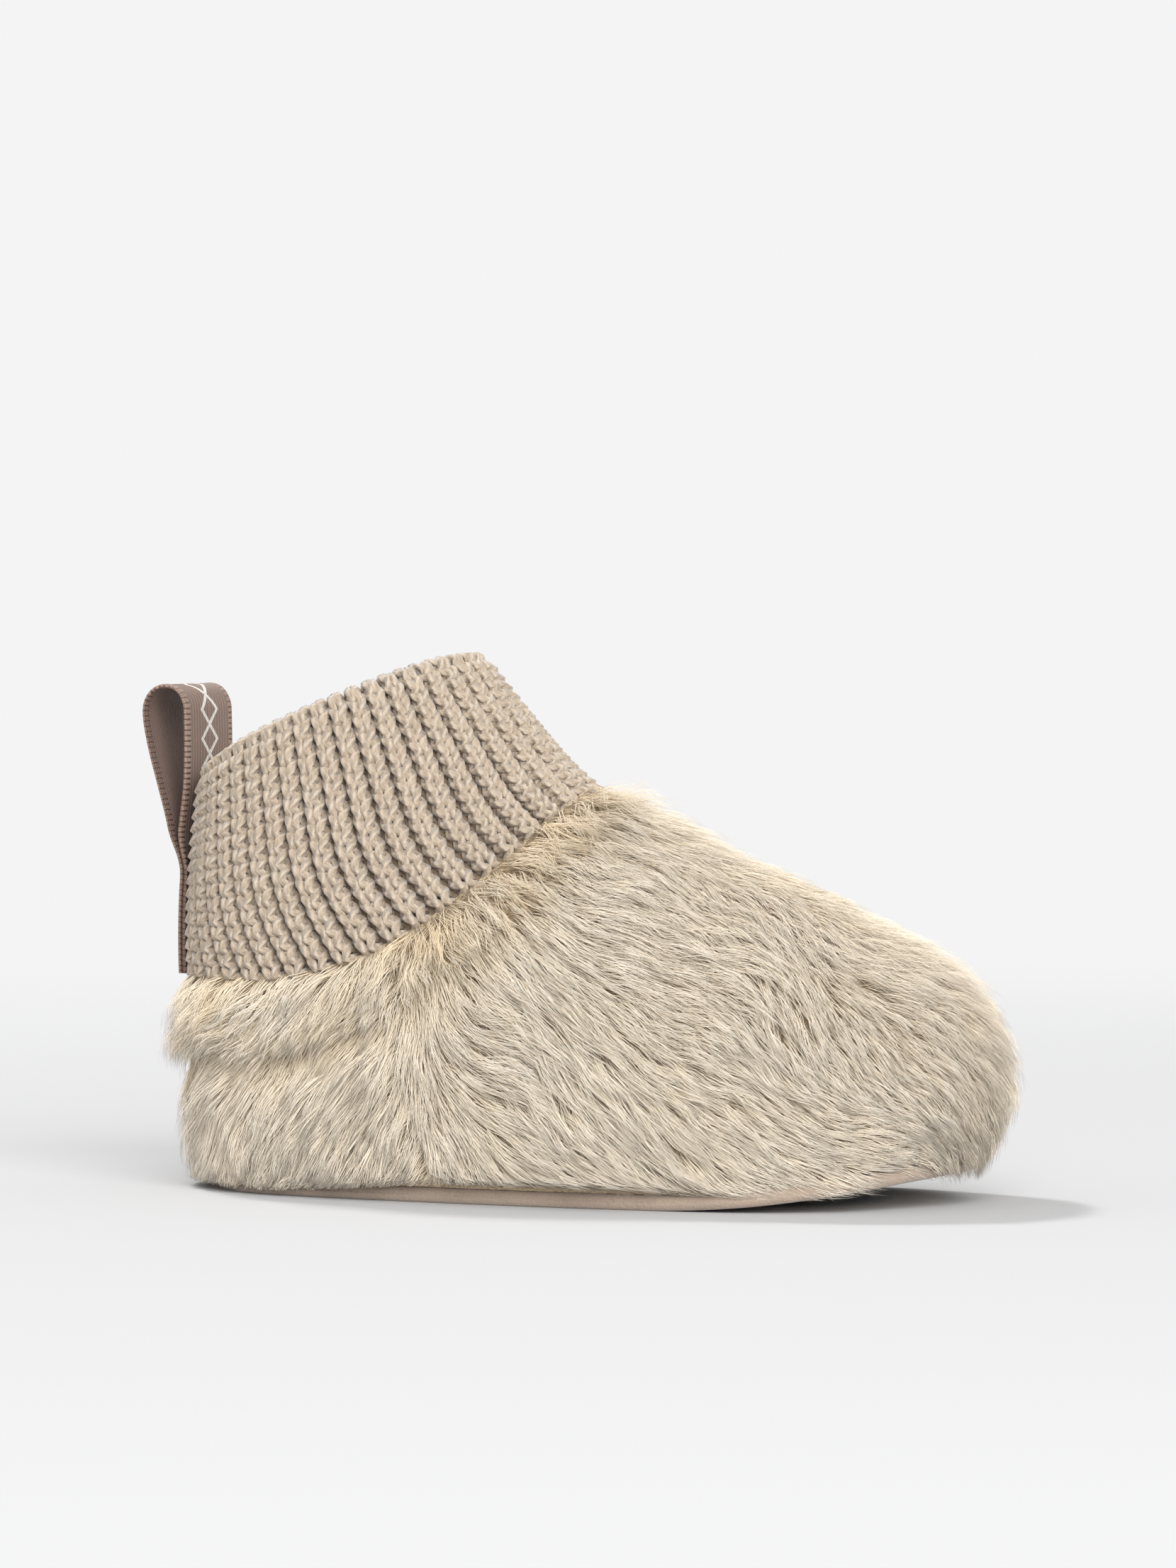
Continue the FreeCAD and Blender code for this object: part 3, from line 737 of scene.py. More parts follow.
def grid_faces(rows: int, columns: int, closed: bool = False, start: int = 0) -> Array:
    """Quads of a grid of points stored row by row; closed joins the last row to the first.

    Args:
        rows: rows of the grid.
        columns: points in a row.
        closed: whether the last row joins the first.
        start: the number of the first vertex.

    Returns:
        Four vertex numbers for each face.
    """
    row = np.arange(rows if closed else rows - 1)[:, None]
    column = np.arange(columns - 1)[None, :]
    one = row * columns + column
    two = ((row + 1) % rows) * columns + column
    return np.stack([one, two, two + 1, one + 1], axis=-1).reshape(-1, 4) + start


def slab(name: str, outer: Array, inner: Array, closed: bool = False) -> Object:
    """Makes one closed solid between two grids of points.

    Args:
        name: the piece's name.
        outer: rows by columns by xyz, whose faces look outwards.
        inner: the same for the other face.
        closed: whether the last row joins the first.

    Returns:
        The new piece.
    """
    rows, columns = outer.shape[:2]
    size = rows * columns
    front = grid_faces(rows, columns, closed)
    back = grid_faces(rows, columns, closed, size)[:, ::-1]
    walls = []
    spans = range(rows if closed else rows - 1)
    for n in spans:
        one, two = n * columns, ((n + 1) % rows) * columns
        walls.append((two, one, one + size, two + size))
        one, two = one + columns - 1, two + columns - 1
        walls.append((one, two, two + size, one + size))
    if not closed:
        for column in range(columns - 1):
            walls.append((column, column + 1, column + 1 + size, column + size))
            end = (rows - 1) * columns + column
            walls.append((end + 1, end, end + size, end + 1 + size))
    vertices = np.concatenate([outer.reshape(-1, 3), inner.reshape(-1, 3)])
    return new_piece(name, vertices, [*front.tolist(), *back.tolist(), *walls])


def store_vectors(piece: Object, name: str, values: Array) -> None:
    """Stores a vector for each vertex under a name."""
    layer = piece.data.attributes.new(name, "FLOAT_VECTOR", "POINT")
    layer.data.foreach_set("vector", np.asarray(values, dtype=np.float32).ravel())


def store_uv(piece: Object, uv: Array) -> None:
    """Stores a UV map from a pair of numbers for each vertex.

    Args:
        piece: the piece.
        uv: a pair of numbers for each vertex.
    """
    layer = piece.data.uv_layers.new(name="UVMap")
    corners = np.empty(len(piece.data.loops), dtype=np.int32)
    piece.data.loops.foreach_get("vertex_index", corners)
    layer.data.foreach_set("uv", np.asarray(uv, dtype=np.float32).reshape(-1, 2)[corners].ravel())


def dress(piece: Object, material: Finish) -> Object:
    """Gives a piece one material.

    Args:
        piece: the piece.
        material: its finish.

    Returns:
        The same piece.
    """
    piece.data.materials.clear()
    piece.data.materials.append(material)
    return piece


def settle(piece: Object, slot: str, *nodes: str) -> Object:
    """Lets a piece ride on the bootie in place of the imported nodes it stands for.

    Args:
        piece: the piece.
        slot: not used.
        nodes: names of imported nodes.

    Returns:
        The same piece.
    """
    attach(piece, "bootie")
    if nodes:
        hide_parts(*nodes)
    return piece


# ---------------------------------------------------------------- finishes


@dataclass(frozen=True)
class FurFinish:
    """Long soft pile: 'lay' holds a lock's own number, the share of the way along a strand, and how golden it
    is, which also holds painted shade in the crease under the roll.
    """

    root: Colour = (0.82, 0.67, 0.47)
    tip: Colour = (0.93, 0.85, 0.725)
    gold_and_crease_shade: Colour = (0.86, 0.69, 0.45)
    patch: float = 130.0

    def build(self) -> Finish:
        """Makes the material.

        Returns:
            The material.
        """
        graph = Material("fur_pile")
        lock, along, golden = graph.attribute("lay")
        body = graph.mix(along + 0.25, self.root, self.tip)
        patch = graph.noise(graph.place(), self.patch, 3.0)
        # The golden colour is the pile's own on the roll, and painted shade in the crease below it.
        body = graph.mix(golden * 0.85 + (patch * 0.3 - 0.08), body, self.gold_and_crease_shade)
        body = graph.scaled(body, graph.ramp(lock, 0.0, 1.0, 0.88, 1.03))
        return graph.finish(Base_Color=body, Roughness=0.62, Sheen_Weight=0.12, Sheen_Roughness=0.5)


@dataclass(frozen=True)
class BackingFinish:
    """The knitted ground that pile stands in."""

    light: Colour = (0.70, 0.54, 0.34)
    dark: Colour = (0.55, 0.44, 0.31)
    grain: float = 2500.0

    def build(self) -> Finish:
        """Makes the material.

        Returns:
            The material.
        """
        graph = Material("fur_backing")
        grain = graph.noise(graph.place(), self.grain)
        graph.bump(grain, 0.4 * MM)
        return graph.finish(Base_Color=graph.mix(grain, self.light, self.dark), Roughness=0.95)


@dataclass(frozen=True)
class YarnFinish:
    """Two-ply yarn: 'strand' holds the length along it and two waves round it, 'lift' how far it is out."""

    dark: Colour = (0.36, 0.28, 0.203)
    light: Colour = (0.60, 0.503, 0.393)
    shade: Colour = (0.165, 0.112, 0.07)
    lay: float = 2.1 * MM
    fibre: float = 3500.0
    patch: float = 220.0

    def build(self) -> Finish:
        """Makes the material.

        Returns:
            The material.
        """
        graph = Material("knit_yarn")
        run, sine, cosine = graph.attribute("strand")
        twist = sine * graph.wave(run, self.lay, "COSINE") - cosine * graph.wave(run, self.lay)
        place = graph.place()
        fibre, patch = graph.noise(place, self.fibre, 3.0), graph.noise(place, self.patch)
        # The twist term darkens the grooves between the two plies, which is painted shade; patch and fibre
        # are the yarn's own tone.
        body = graph.mix(twist * 0.28 + (patch * 0.5 + fibre * 0.35), self.dark, self.light)
        lift, _, _ = graph.attribute("lift")
        body = graph.mix(graph.ramp(lift, 0.2 * MM, -1.2 * MM, 0.0, 0.85), body, self.shade)
        graph.bump(twist * 0.5 + fibre * 0.35, 0.45 * MM)
        return graph.finish(Base_Color=body, Roughness=0.58, Sheen_Weight=0.4, Sheen_Roughness=0.4)


@dataclass(frozen=True)
class ClothFinish:
    """A soft cloth, leather or wadding with a grain and slow changes of colour."""

    name: str
    dark: Colour
    light: Colour
    grain: float
    depth: float
    roughness: float = 0.9
    sheen: float = 0.2
    patch: float = 90.0

    def build(self) -> Finish:
        """Makes the material.

        Returns:
            The material.
        """
        graph = Material(self.name)
        place = graph.place()
        fine, slow = graph.noise(place, self.grain, 4.0), graph.noise(place, self.patch)
        graph.bump(fine, self.depth)
        body = graph.mix(fine * 0.55 + slow * 0.5, self.dark, self.light)
        return graph.finish(Base_Color=body, Roughness=self.roughness, Sheen_Weight=self.sheen)


@dataclass(frozen=True)
class RibbonFinish:
    """Woven ribbon: 'weave' holds the places across and along it, in metres, and which face it is."""

    twill: Colour = (0.128, 0.080, 0.060)
    pale: Colour = (0.31, 0.212, 0.162)
    white: Colour = (0.78, 0.75, 0.70)
    inside: tuple[Colour, Colour] = ((0.085, 0.049, 0.037), (0.26, 0.156, 0.116))
    half: float = 8.0 * MM
    border: float = 1.5 * MM
    diamond: float = 2.2 * MM
    line: float = 0.48 * MM

    def build(self) -> Finish:
        """Makes the material.

        Returns:
            The material.
        """
        graph = Material("ribbon_weave")
        across, along, face = graph.attribute("weave")
        side = graph.maths("ABSOLUTE", across)
        swing = graph.maths("PINGPONG", along, self.diamond)
        zigzag = graph.maths("ABSOLUTE", swing * 1.15 - side) < self.line
        ribs, picks = graph.wave(side, 0.9 * MM), graph.wave(along + side, 0.55 * MM)
        beads, floats = graph.wave(along, 0.8 * MM), graph.wave(side, 0.42 * MM)
        border = graph.maths("GREATER_THAN", side, self.half - self.border)
        body = graph.mix(ribs * 0.3 + picks * 0.25 + 0.5, self.twill, self.pale)
        body = graph.mix(border, graph.mix(zigzag, body, self.white), self.pale)
        body = graph.mix(face, body, graph.mix(floats * 0.5 + 0.5, *self.inside))
        body = graph.mix(graph.noise(graph.place(), 3000.0) * 0.12, body, self.pale)
        graph.bump(zigzag * 0.8 + picks * 0.25 + border * beads + ribs * 0.2, 0.18 * MM)
        return graph.finish(Base_Color=body, Roughness=0.6, Sheen_Weight=0.08)


# ---------------------------------------------------------------- plush fur


@dataclass
class Pile:
    """Long pile laid along a flow, grown from a grid of its ground.

    The ground stores what shapes a strand: 'up' and 'flow' are unit vectors, 'form' its reach, its height and
    how fast the ground falls away, and 'mood' how untidy it is, how far it joins its lock, and how golden it
    is, which also holds painted shade in the crease under the roll.
    """

    density: float = 6.1e6
    width: float = 0.115 * MM
    lock: float = 760.0
    segments: int = 3
    floor: float = 0.9 * MM

    def tree(self) -> Tree:
        """Builds the tree that grows strands, each a cone of three sides, on its ground.

        Returns:
            The tree, ready to grow pieces.
        """
        tree = Tree("pile", density=self.density, width=self.width, lock=self.lock, floor=self.floor, seed=1)
        seed = tree.given("seed")
        scatter = {"Mesh": tree.given("Geometry"), "Density": tree.given("density"), "Seed": seed}
        points = tree.out("GeometryNodeDistributePointsOnFaces", {"distribute_method": "RANDOM"}, scatter)
        place = tree.out("GeometryNodeInputPosition")
        cells = {"Vector": place, "Scale": tree.given("lock")}
        cells = tree.add("ShaderNodeTexVoronoi", {"feature": "F1"}, cells).outputs
        pull = tree.vector("SUBTRACT", Wire(tree, cells["Position"]), place)
        tint = Wire(tree, cells["Color"])
        chance = tree.out("FunctionNodeRandomValue", {"data_type": "FLOAT_VECTOR"}, {"Seed": seed})
        for name, value in (("root", place), ("pull", pull), ("tint", tint), ("chance", chance)):
            points = tree.store(points, name, value)
        sides = {"Vertices": 3, "Side Segments": self.segments, "Radius Top": 0.0, "Radius Bottom": 1.0}
        cone = tree.out("GeometryNodeMeshCone", {"fill_type": "NGON"}, {**sides, "Depth": 1.0})
        cone = tree.store(cone, "local", place)
        cone = tree.out("GeometryNodeSetShadeSmooth", None, {0: cone})
        strands = tree.out("GeometryNodeInstanceOnPoints", None, {"Points": points, "Instance": cone})
        strands = tree.out("GeometryNodeRealizeInstances", None, {0: strands})
        moved = {"Geometry": strands, "Position": self.shape(tree)}
        strands = tree.out("GeometryNodeSetPosition", None, moved)
        _, _, t = tree.separate(tree.named("local"))
        number, _, _ = tree.separate(tree.named("tint"))
        _, _, gold_and_crease_shade = tree.separate(tree.named("mood"))
        strands = tree.store(strands, "lay", tree.combine(number, t, gold_and_crease_shade))
        tree.end(strands, ("root", "pull", "tint", "chance", "local", "up", "flow", "form", "mood"))
        return tree

    @staticmethod
    def shape(tree: Tree) -> Wire:
        """Where a strand's point goes: it rises from its root, lies along the flow and joins its lock.

        Args:
            tree: the tree.

        Returns:
            The point's place.
        """
        across_x, across_y, t = tree.separate(tree.named("local"))
        root, up, flow = tree.named("root"), tree.named("up"), tree.named("flow")
        chance_x, chance_y, chance_z = tree.separate(tree.named("chance"))
        tint_x, tint_y, tint_z = tree.separate(tree.named("tint"))
        reach, height, bend = tree.separate(tree.named("form"))
        mess, gather, _ = tree.separate(tree.named("mood"))
        side = tree.vector("CROSS_PRODUCT", up, flow)
        length = reach * (chance_x * 0.3 + 0.72) * (tint_x * 0.3 + 0.85)
        along = length * (t * 0.45 + t * t * 0.55)
        rise = height * (tint_y * 0.7 + 0.6) * (chance_y * 0.5 + 0.72)
        lift = rise * (1.0 - (1.0 - t) * (1.0 - t)) - bend * along * along * 0.5
        sway = length * t * ((tint_z - 0.5) * (mess * 1.2 + 0.45) + (chance_z - 0.5) * 0.22)
        pull = tree.named("pull")
        pull = tree.vector("SUBTRACT", pull, tree.scaled(up, tree.dot(pull, up)))
        spot = root
        for way, amount in ((flow, along), (side, sway), (up, lift), (pull, gather * (t ** 1.2))):
            spot = tree.vector("ADD", spot, tree.scaled(way, amount))
        # Slow drift bends whole tufts, and quick frizz bends single strands.
        for scale, detail, untidy, least in ((170.0, 2.0, 10.0, 2.0), (900.0, 1.0, 2.2, 0.5)):
            drift = tree.vector("SUBTRACT", tree.noise(spot, scale, detail, 1), (0.5, 0.5, 0.5))
            amount = t * (mess * (untidy * MM) + least * MM)
            spot = tree.vector("ADD", spot, tree.scaled(drift, amount))
        width = tree.given("width") * (chance_z * 0.5 + 0.75)
        spot = tree.vector("ADD", spot, tree.scaled(side, across_x * width))
        spot = tree.vector("ADD", spot, tree.scaled(up, across_y * width * 0.5))
        x, y, z = tree.separate(spot)
        # The hem clears the sole's edge under the arch and the ball, and follows it up at the toe.
        ahead = tree.maths("MAXIMUM", x - 0.020, 0.0)
        clear = tree.ramp(x, -0.040, -0.010, 0.0, 2.2 * MM) * tree.ramp(x, 0.022, 0.045, 1.0, 0.0)
        low = tree.given("floor") * (chance_y * 1.1 + 0.6) + clear + ahead * ahead * 1.5
        return tree.combine(x, y, tree.maths("MAXIMUM", z, low))


@dataclass
class FurUpper:
    """The fur panels: a thin ground for each, and its pile in tiles."""

    last: Last
    pile: Pile = field(default_factory=Pile)
    ground_out: float = 1.0
    ground_in: float = 4.0
    reach: float = 9.5
    height: float = 2.9
    gather: float = 0.62
    swirl: float = 0.95
    tiles: dict[Cut, int] = field(default_factory=lambda: {Cut.VAMP: 5, Cut.LEFT: 2, Cut.RIGHT: 2})

    def depth_at(self, turn: Array, level: Array) -> Array:
        """How deep the ground lies: proud over the top of the toe, and tucked in under its tip.

        Args:
            turn: turns round the foot.
            level: ring levels.

        Returns:
            Depths in millimetres.
        """
        spots = self.last.points(turn, level, self.ground_out)
        x, z = spots[..., 0], spots[..., 2]
        tuck = part(x, 40, 58) * part(z, 17, 6)
        return self.ground_out + 1.9 * tuck - 1.5 * ease(part(x, 18, 38) * part(z, 20, 32))

    def ground(self, cut: Cut, material: Finish) -> Object:
        """The closed thin panel that the pile stands in.

        Args:
            cut: the panel.
            material: its finish.

        Returns:
            The new piece.
        """
        turn, level = self.last.panel_grid(cut, (cut.first, 1.0), 90 if cut is Cut.VAMP else 50, 24)
        outer = self.last.points(turn, level, self.depth_at(turn, level))
        inner = self.last.points(turn, level, self.ground_in)
        return dress(slab(cut.called("fur_ground"), outer, inner), material)

    def flow(self, cut: Cut, spots: Array, up: Array) -> Array:
        """Which way the pile lies: forward on the vamp, back on the quarters, and down near the side seams.

        Args:
            cut: the panel.
            spots: places on the ground.
            up: the ground's normals there.

        Returns:
            Unit vectors that are square to the normals.
        """
        side = np.sign(spots[..., 1]) * np.minimum(1.0, np.abs(spots[..., 1]) / 12)
        ahead, apart, down = (0.94, 0.25, -0.38) if cut is Cut.VAMP else (-0.45, 0.05, -0.9)
        wish = np.stack([np.full_like(side, ahead), apart * side, np.full_like(side, down)], axis=-1)
        swirl = waves(spots, 17.0, 3.1 if cut is Cut.VAMP else 8.3)
        away = ease(part(np.abs(self.last.ahead_of_seam(spots)), 0.0, 15.0))[..., None]
        wish = unit(wish) * away + np.array([0.0, 0.0, -1.0]) * (1 - away)
        flat = unit(wish - up * np.sum(wish * up, axis=-1, keepdims=True))
        return unit(flat + np.cross(up, flat) * (swirl * self.swirl)[..., None])

    def bends(self, turn: Array, level: Array, flow: Array) -> Array:
        """How fast the ground falls away along the flow, per millimetre.

        Args:
            turn: turns round the foot.
            level: ring levels.
            flow: which way the pile lies.

        Returns:
            Curvatures, kept within what pile can follow.
        """
        step, depth = 0.01, self.ground_out

        def slopes(value: Callable[..., Array]) -> tuple[Array, Array]:
            """How fast a value changes with turn and with level."""
            by_turn = value(turn + step, level, depth) - value(turn - step, level, depth)
            by_level = value(turn, level + step, depth) - value(turn, level - step, depth)
            return by_turn / (2 * step), by_level / (2 * step)

        def product(one: Array, two: Array) -> Array:
            """The dot product at each place."""
            return np.sum(one * two, -1)

        (round_run, up_run), (round_turn, up_turn) = slopes(self.last.points), slopes(self.last.normals)
        a, b, c = product(round_run, round_run), product(round_run, up_run), product(up_run, up_run)
        p, q = product(flow, round_run), product(flow, up_run)
        solid = a * c - b * b
        by_round, by_up = (p * c - q * b) / solid, (q * a - p * b) / solid
        turned = round_turn * by_round[..., None] + up_turn * by_up[..., None]
        return np.clip(product(turned, flow), -0.005, 0.05)

    def coat(self, cut: Cut, spots: Array, flow: Array, drop: Array) -> tuple[Array, Array, Array, Array]:
        """How long, how high, how untidy and how golden the pile is at each place; in the crease below the
        roll the golden colour is painted shade.

        Args:
            cut: the panel.
            spots: places on the ground.
            flow: which way the pile lies there.
            drop: how far below the topline seam they are.

        Returns:
            Reach and height in millimetres, and two shares.
        """
        x, z = spots[..., 0], spots[..., 2]
        toe = part(x, 15, 55)
        hang = (z - 4.5 * part(x, 34, 60) + 2.5) / np.maximum(0.35, -flow[..., 2])
        reach = np.clip(hang, 3.0, self.reach - 2.0 * toe)
        height = self.height * (1 + 0.16 * waves(spots, 9.0, 5.5))
        crest = np.exp(-((spots[..., 1] / 13) ** 2)) * part(x, 2, 16)
        height = height * (1 - 0.42 * crest * part(x, 48, 38)) * (1 - 0.72 * toe * part(z, 20, 7))
        # A fuller roll of pile stands above a line that runs below the topline seam.
        if cut is Cut.VAMP:
            line, deep, where, untidy, golden = 10.5, 3.0, part(x, 16, 2), 0.62, 0.42
        else:
            line, deep, where, untidy, golden = 11.0, 2.2, 1.0, 0.14, 0.15
        above = part(drop, line, line - deep) * where
        below = np.exp(-((np.clip(drop - line, 0, 99) / 2.5) ** 2)) * (drop > line) * where
        reach = np.where(above > 0.02, np.clip(line - drop + 3.2, 4.5, reach), reach)
        height = height * (1 + 0.42 * above * np.clip(drop / 3.0, 0.2, 1)) * (1 - 0.55 * below)
        mess = 0.03 + 0.20 * np.clip(waves(spots, 14.0, 1.7), 0, 1) * (1 - toe) + untidy * above
        # In the crease just below the line, under the roll, the golden colour is painted shade; on the roll
        # and in the waves it is the pile's own colour.
        gold_and_crease_shade = golden * above + 0.4 * below + 0.7 * waves(spots, 7.0, 9.9) * (0.25 + above)
        return reach, height, mess, np.clip(gold_and_crease_shade, 0, 1)

    def grow(self, cut: Cut, number: int, tree: Tree, material: Finish) -> Object:
        """One tile of a panel's pile.

        Args:
            cut: the panel.
            number: which tile, from 0.
            tree: the tree.
            material: its finish.

        Returns:
            The new piece.
        """
        edges = cut.first + (1.0 - cut.first) * np.array([number, number + 1]) / self.tiles[cut]
        turn, level = self.last.panel_grid(cut, tuple(edges), 30, 44)
        depth = self.depth_at(turn, level)
        spots, up = self.last.points(turn, level, depth), self.last.normals(turn, level, depth)
        flow = self.flow(cut, spots, up)
        bend = self.bends(turn, level, flow)
        name = f"{cut.called('fur_pile')}_{number + 1}"
        piece = new_piece(name, spots.reshape(-1, 3), grid_faces(*spots.shape[:2]))
        reach, height, mess, gold_and_crease_shade = self.coat(cut, spots, flow, -self.last.above_topline(spots))
        store_vectors(piece, "up", up)
        store_vectors(piece, "flow", flow)
        store_vectors(piece, "form", np.stack([reach * MM, height * MM, bend / MM], axis=-1))
        store_vectors(piece, "mood", np.stack([mess, np.full_like(mess, self.gather), gold_and_crease_shade], axis=-1))
        return tree.grow(piece, material, seed=17 * (number + 1) + 101 * list(Cut).index(cut))

    def build(self) -> list[Object]:
        """Builds every panel and its pile, riding on the bootie.

        Returns:
            The new pieces.
        """
        hair, under = FurFinish().build(), BackingFinish().build()
        tree = self.pile.tree()
        made = []
        for cut, tiles in self.tiles.items():
            pieces = [self.ground(cut, under)]
            pieces += [self.grow(cut, number, tree, hair) for number in range(tiles)]
            made += [settle(piece, "fur", cut.called("fur")) for piece in pieces]
        return made


# ---------------------------------------------------------------- rib-knit cuff


@dataclass
class KnitCuff:
    """The folded rib-knit cuff: courses of looped yarn over the outer wall, the rim and the inner wall."""

    last: Last
    wales: int = 44
    wall_courses: float = 14.5
    rim_courses: float = 2.6
    inner_courses: int = 13
    outer_depth: float = 1.35
    inner_depth: float = 5.3
    yarn: float = 0.70
    steps: int = 12
    swing: float = 0.235
    rise: float = 0.88
    crowd: float = 0.035
    sink: float = 0.50
    ridge: float = 1.1
    wall_rows: int = 60
    rim_rows: int = 23
    inner_rows: int = 50
    below_topline: float = 0.6
    shade_core: tuple[float, float] = (0.75, 1.15)

    @property
    def courses(self) -> float:
        """How many courses the cuff has from its lower edge to its inner edge."""
        return self.wall_courses + self.rim_courses + self.inner_courses

    def even_turns(self, count: int, height: Callable[[Array], Array]) -> Array:
        """Turns, from the heel round to the heel, at equal steps along the line where a height is zero.

        Args:
            count: how many turns.
            height: a height above a line, for places.

        Returns:
            Turns in radians.
        """
        turns = np.linspace(-math.pi, math.pi, 721)
        levels = self.last.level_where(turns, height, self.outer_depth)
        run = run_along(self.last.points(turns, levels, self.outer_depth))
        return np.interp(np.linspace(0.0, run[-1], count), run, turns)

    def profile(self, columns: int) -> Array:
        """Lines over the cuff from its lower edge to its inner edge, as columns by rows by xyz.

        Args:
            columns: how many lines.

        Returns:
            Columns by rows by xyz.
        """
        middle, half = (self.outer_depth + self.inner_depth) / 2, (self.inner_depth - self.outer_depth) / 2
        below = self.even_turns(columns, self.last.above_topline)
        turns = self.even_turns(columns, self.last.above_rim)

        def level(at: Array, height: Callable[[Array], Array], drop: float, depth: float) -> Array:
            """The level at a drop below a line."""
            return self.last.level_where(at, lambda spot: height(spot) + drop, depth)

        rows = []
        low = level(below, self.last.above_topline, self.below_topline, self.outer_depth)
        top = level(turns, self.last.above_rim, half, self.outer_depth)
        for share in np.linspace(0, 1, self.wall_rows):
            turn = below + (turns - below) * share
            rows.append(self.last.points(turn, low + (top - low) * share, self.outer_depth))
        for angle in np.linspace(0, math.pi, self.rim_rows + 2)[1:-1]:
            depth = middle - half * math.cos(angle)
            around = level(turns, self.last.above_rim, half - half * math.sin(angle), depth)
            rows.append(self.last.points(turns, around, depth))
        top = level(turns, self.last.above_rim, half, self.inner_depth)
        low = level(turns, self.last.above_topline, 1.0, self.inner_depth)
        for share in np.linspace(0, 1, self.inner_rows):
            rows.append(self.last.points(turns, top + (low - top) * share, self.inner_depth))
        return np.array(rows).transpose(1, 0, 2)

    def courses_grid(self, columns: int) -> tuple[Array, Array]:
        """The cuff's surface resampled so that equal shares hold equal courses, with its outward normals.

        Args:
            columns: how many columns, all round.

        Returns:
            The surface and its normals, as columns by rows by xyz.
        """
        marks = np.linspace(0, self.courses, 240)
        known = (0.0, self.wall_courses, self.wall_courses + self.rim_courses, self.courses)
        resampled = []
        for line in self.profile(columns + 1):
            run = run_along(line)
            ends = run[[0, self.wall_rows - 1, self.wall_rows + self.rim_rows, -1]]
            goal = np.interp(marks, known, ends)
            resampled.append([np.interp(goal, run, line[:, axis]) for axis in range(3)])
        grid = np.array(resampled).transpose(0, 2, 1)
        round_run = np.gradient(grid, axis=0)
        round_run[0] = round_run[-1] = grid[1] - grid[-2]
        return grid, unit(np.cross(round_run, np.gradient(grid, axis=1)))

    @staticmethod
    def surface(name: str, grid: Array, normal: Array) -> Object:
        """The open guide surface that courses are sampled from.

        Args:
            name: the piece's name.
            grid: columns by rows by xyz.
            normal: its outward normals.

        Returns:
            The guide, a mesh with a UV map.
        """
        piece = new_piece(name, grid.reshape(-1, 3), grid_faces(*grid.shape[:2]))
        rows, columns = grid.shape[:2]
        u, v = np.meshgrid(np.linspace(0, 1, rows), np.linspace(0, 1, columns), indexing="ij")
        store_uv(piece, np.stack([u, v], axis=-1))
        store_vectors(piece, "up", normal)
        return piece

    def tree(self) -> Tree:
        """Builds the tree that lays courses of loops on the guide surface.

        Returns:
            The tree, ready to grow pieces.
        """
        tree = Tree(
            "rib_knit", wales=self.wales, first=0, courses=10, steps=self.steps, total=float(self.courses),
            yarn=self.yarn * MM, swing=self.swing, rise=self.rise, sink=self.sink * MM, ridge=self.ridge * MM,
            crowd=self.crowd,
        )
        ground, steps, wales = tree.given("Geometry"), tree.given("steps"), tree.given("wales")
        per_course = wales * steps
        points = tree.out("GeometryNodePoints", None, {"Count": per_course * tree.given("courses")})
        index = tree.out("GeometryNodeInputIndex")
        course = tree.maths("FLOOR", (index + 0.5) / per_course)
        points = tree.store(points, "course", course, "INT")
        # A yarn swings twice across its wale while it rises and falls once, which makes the V of a stitch.
        t = (index - course * per_course) / steps * TURN
        x = t / TURN + tree.given("swing") * tree.wave(t, math.pi)
        x = x + tree.given("crowd") * tree.wave(x, 1.0)
        y = course + tree.given("first") + 0.5 - tree.wave(t, TURN, "COSINE") * tree.given("rise")
        v = tree.maths("MINIMUM", tree.maths("MAXIMUM", y / tree.given("total"), 0.001), 0.999)
        uv = tree.combine((x / wales) % 1.0, v, 0.0)
        spot = self.sample(tree, ground, tree.out("GeometryNodeInputPosition"), uv)
        up = self.sample(tree, ground, tree.named("up"), uv)
        front = -tree.wave(t, math.pi, "COSINE") * tree.given("sink")
        lift = front - tree.wave(x, 1.0, "COSINE") * tree.given("ridge")
        points = tree.store(points, "lift", lift, "FLOAT")
        moved = {"Geometry": points, "Position": tree.vector("ADD", spot, tree.scaled(up, lift))}
        points = tree.out("GeometryNodeSetPosition", None, moved)
        sockets = {"Points": points, "Curve Group ID": tree.named("course", "INT")}
        curve = tree.out("GeometryNodePointsToCurves", None, sockets)
        curve = tree.out("GeometryNodeSetSplineCyclic", None, {"Geometry": curve, "Cyclic": True})
        curve = tree.store(curve, "run", tree.out("GeometryNodeSplineParameter", output="Length"), "FLOAT")
        eight = {"Resolution": 8, "Radius": 1.0}
        ring = tree.out("GeometryNodeCurvePrimitiveCircle", {"mode": "RADIUS"}, eight)
        ring_x, ring_y, _ = tree.separate(tree.out("GeometryNodeInputPosition"))
        ring = tree.store(ring, "sine", ring_x * ring_y * 2.0, "FLOAT")
        ring = tree.store(ring, "cosine", ring_x * ring_x - ring_y * ring_y, "FLOAT")
        size = tree.combine(*[tree.given("yarn")] * 3)
        ring = tree.out("GeometryNodeTransform", None, {"Geometry": ring, "Scale": size})
        mesh = tree.out("GeometryNodeCurveToMesh", None, {"Curve": curve, "Profile Curve": ring})
        strand = tree.combine(*(tree.named(name, "FLOAT") for name in ("run", "sine", "cosine")))
        mesh = tree.store(mesh, "strand", strand)
        mesh = tree.out("GeometryNodeSetShadeSmooth", None, {0: mesh})
        tree.end(mesh, ("run", "sine", "cosine", "course"))
        return tree

    @staticmethod
    def sample(tree: Tree, ground: Wire, value: Wire, uv: Wire) -> Wire:
        """A vector of the guide surface at a place of its UV map."""
        sockets = {"Mesh": ground, "Value": value, "UV Map": tree.named("UVMap"), "Sample UV": uv}
        return tree.out("GeometryNodeSampleUVSurface", {"data_type": "FLOAT_VECTOR"}, sockets, "Value")

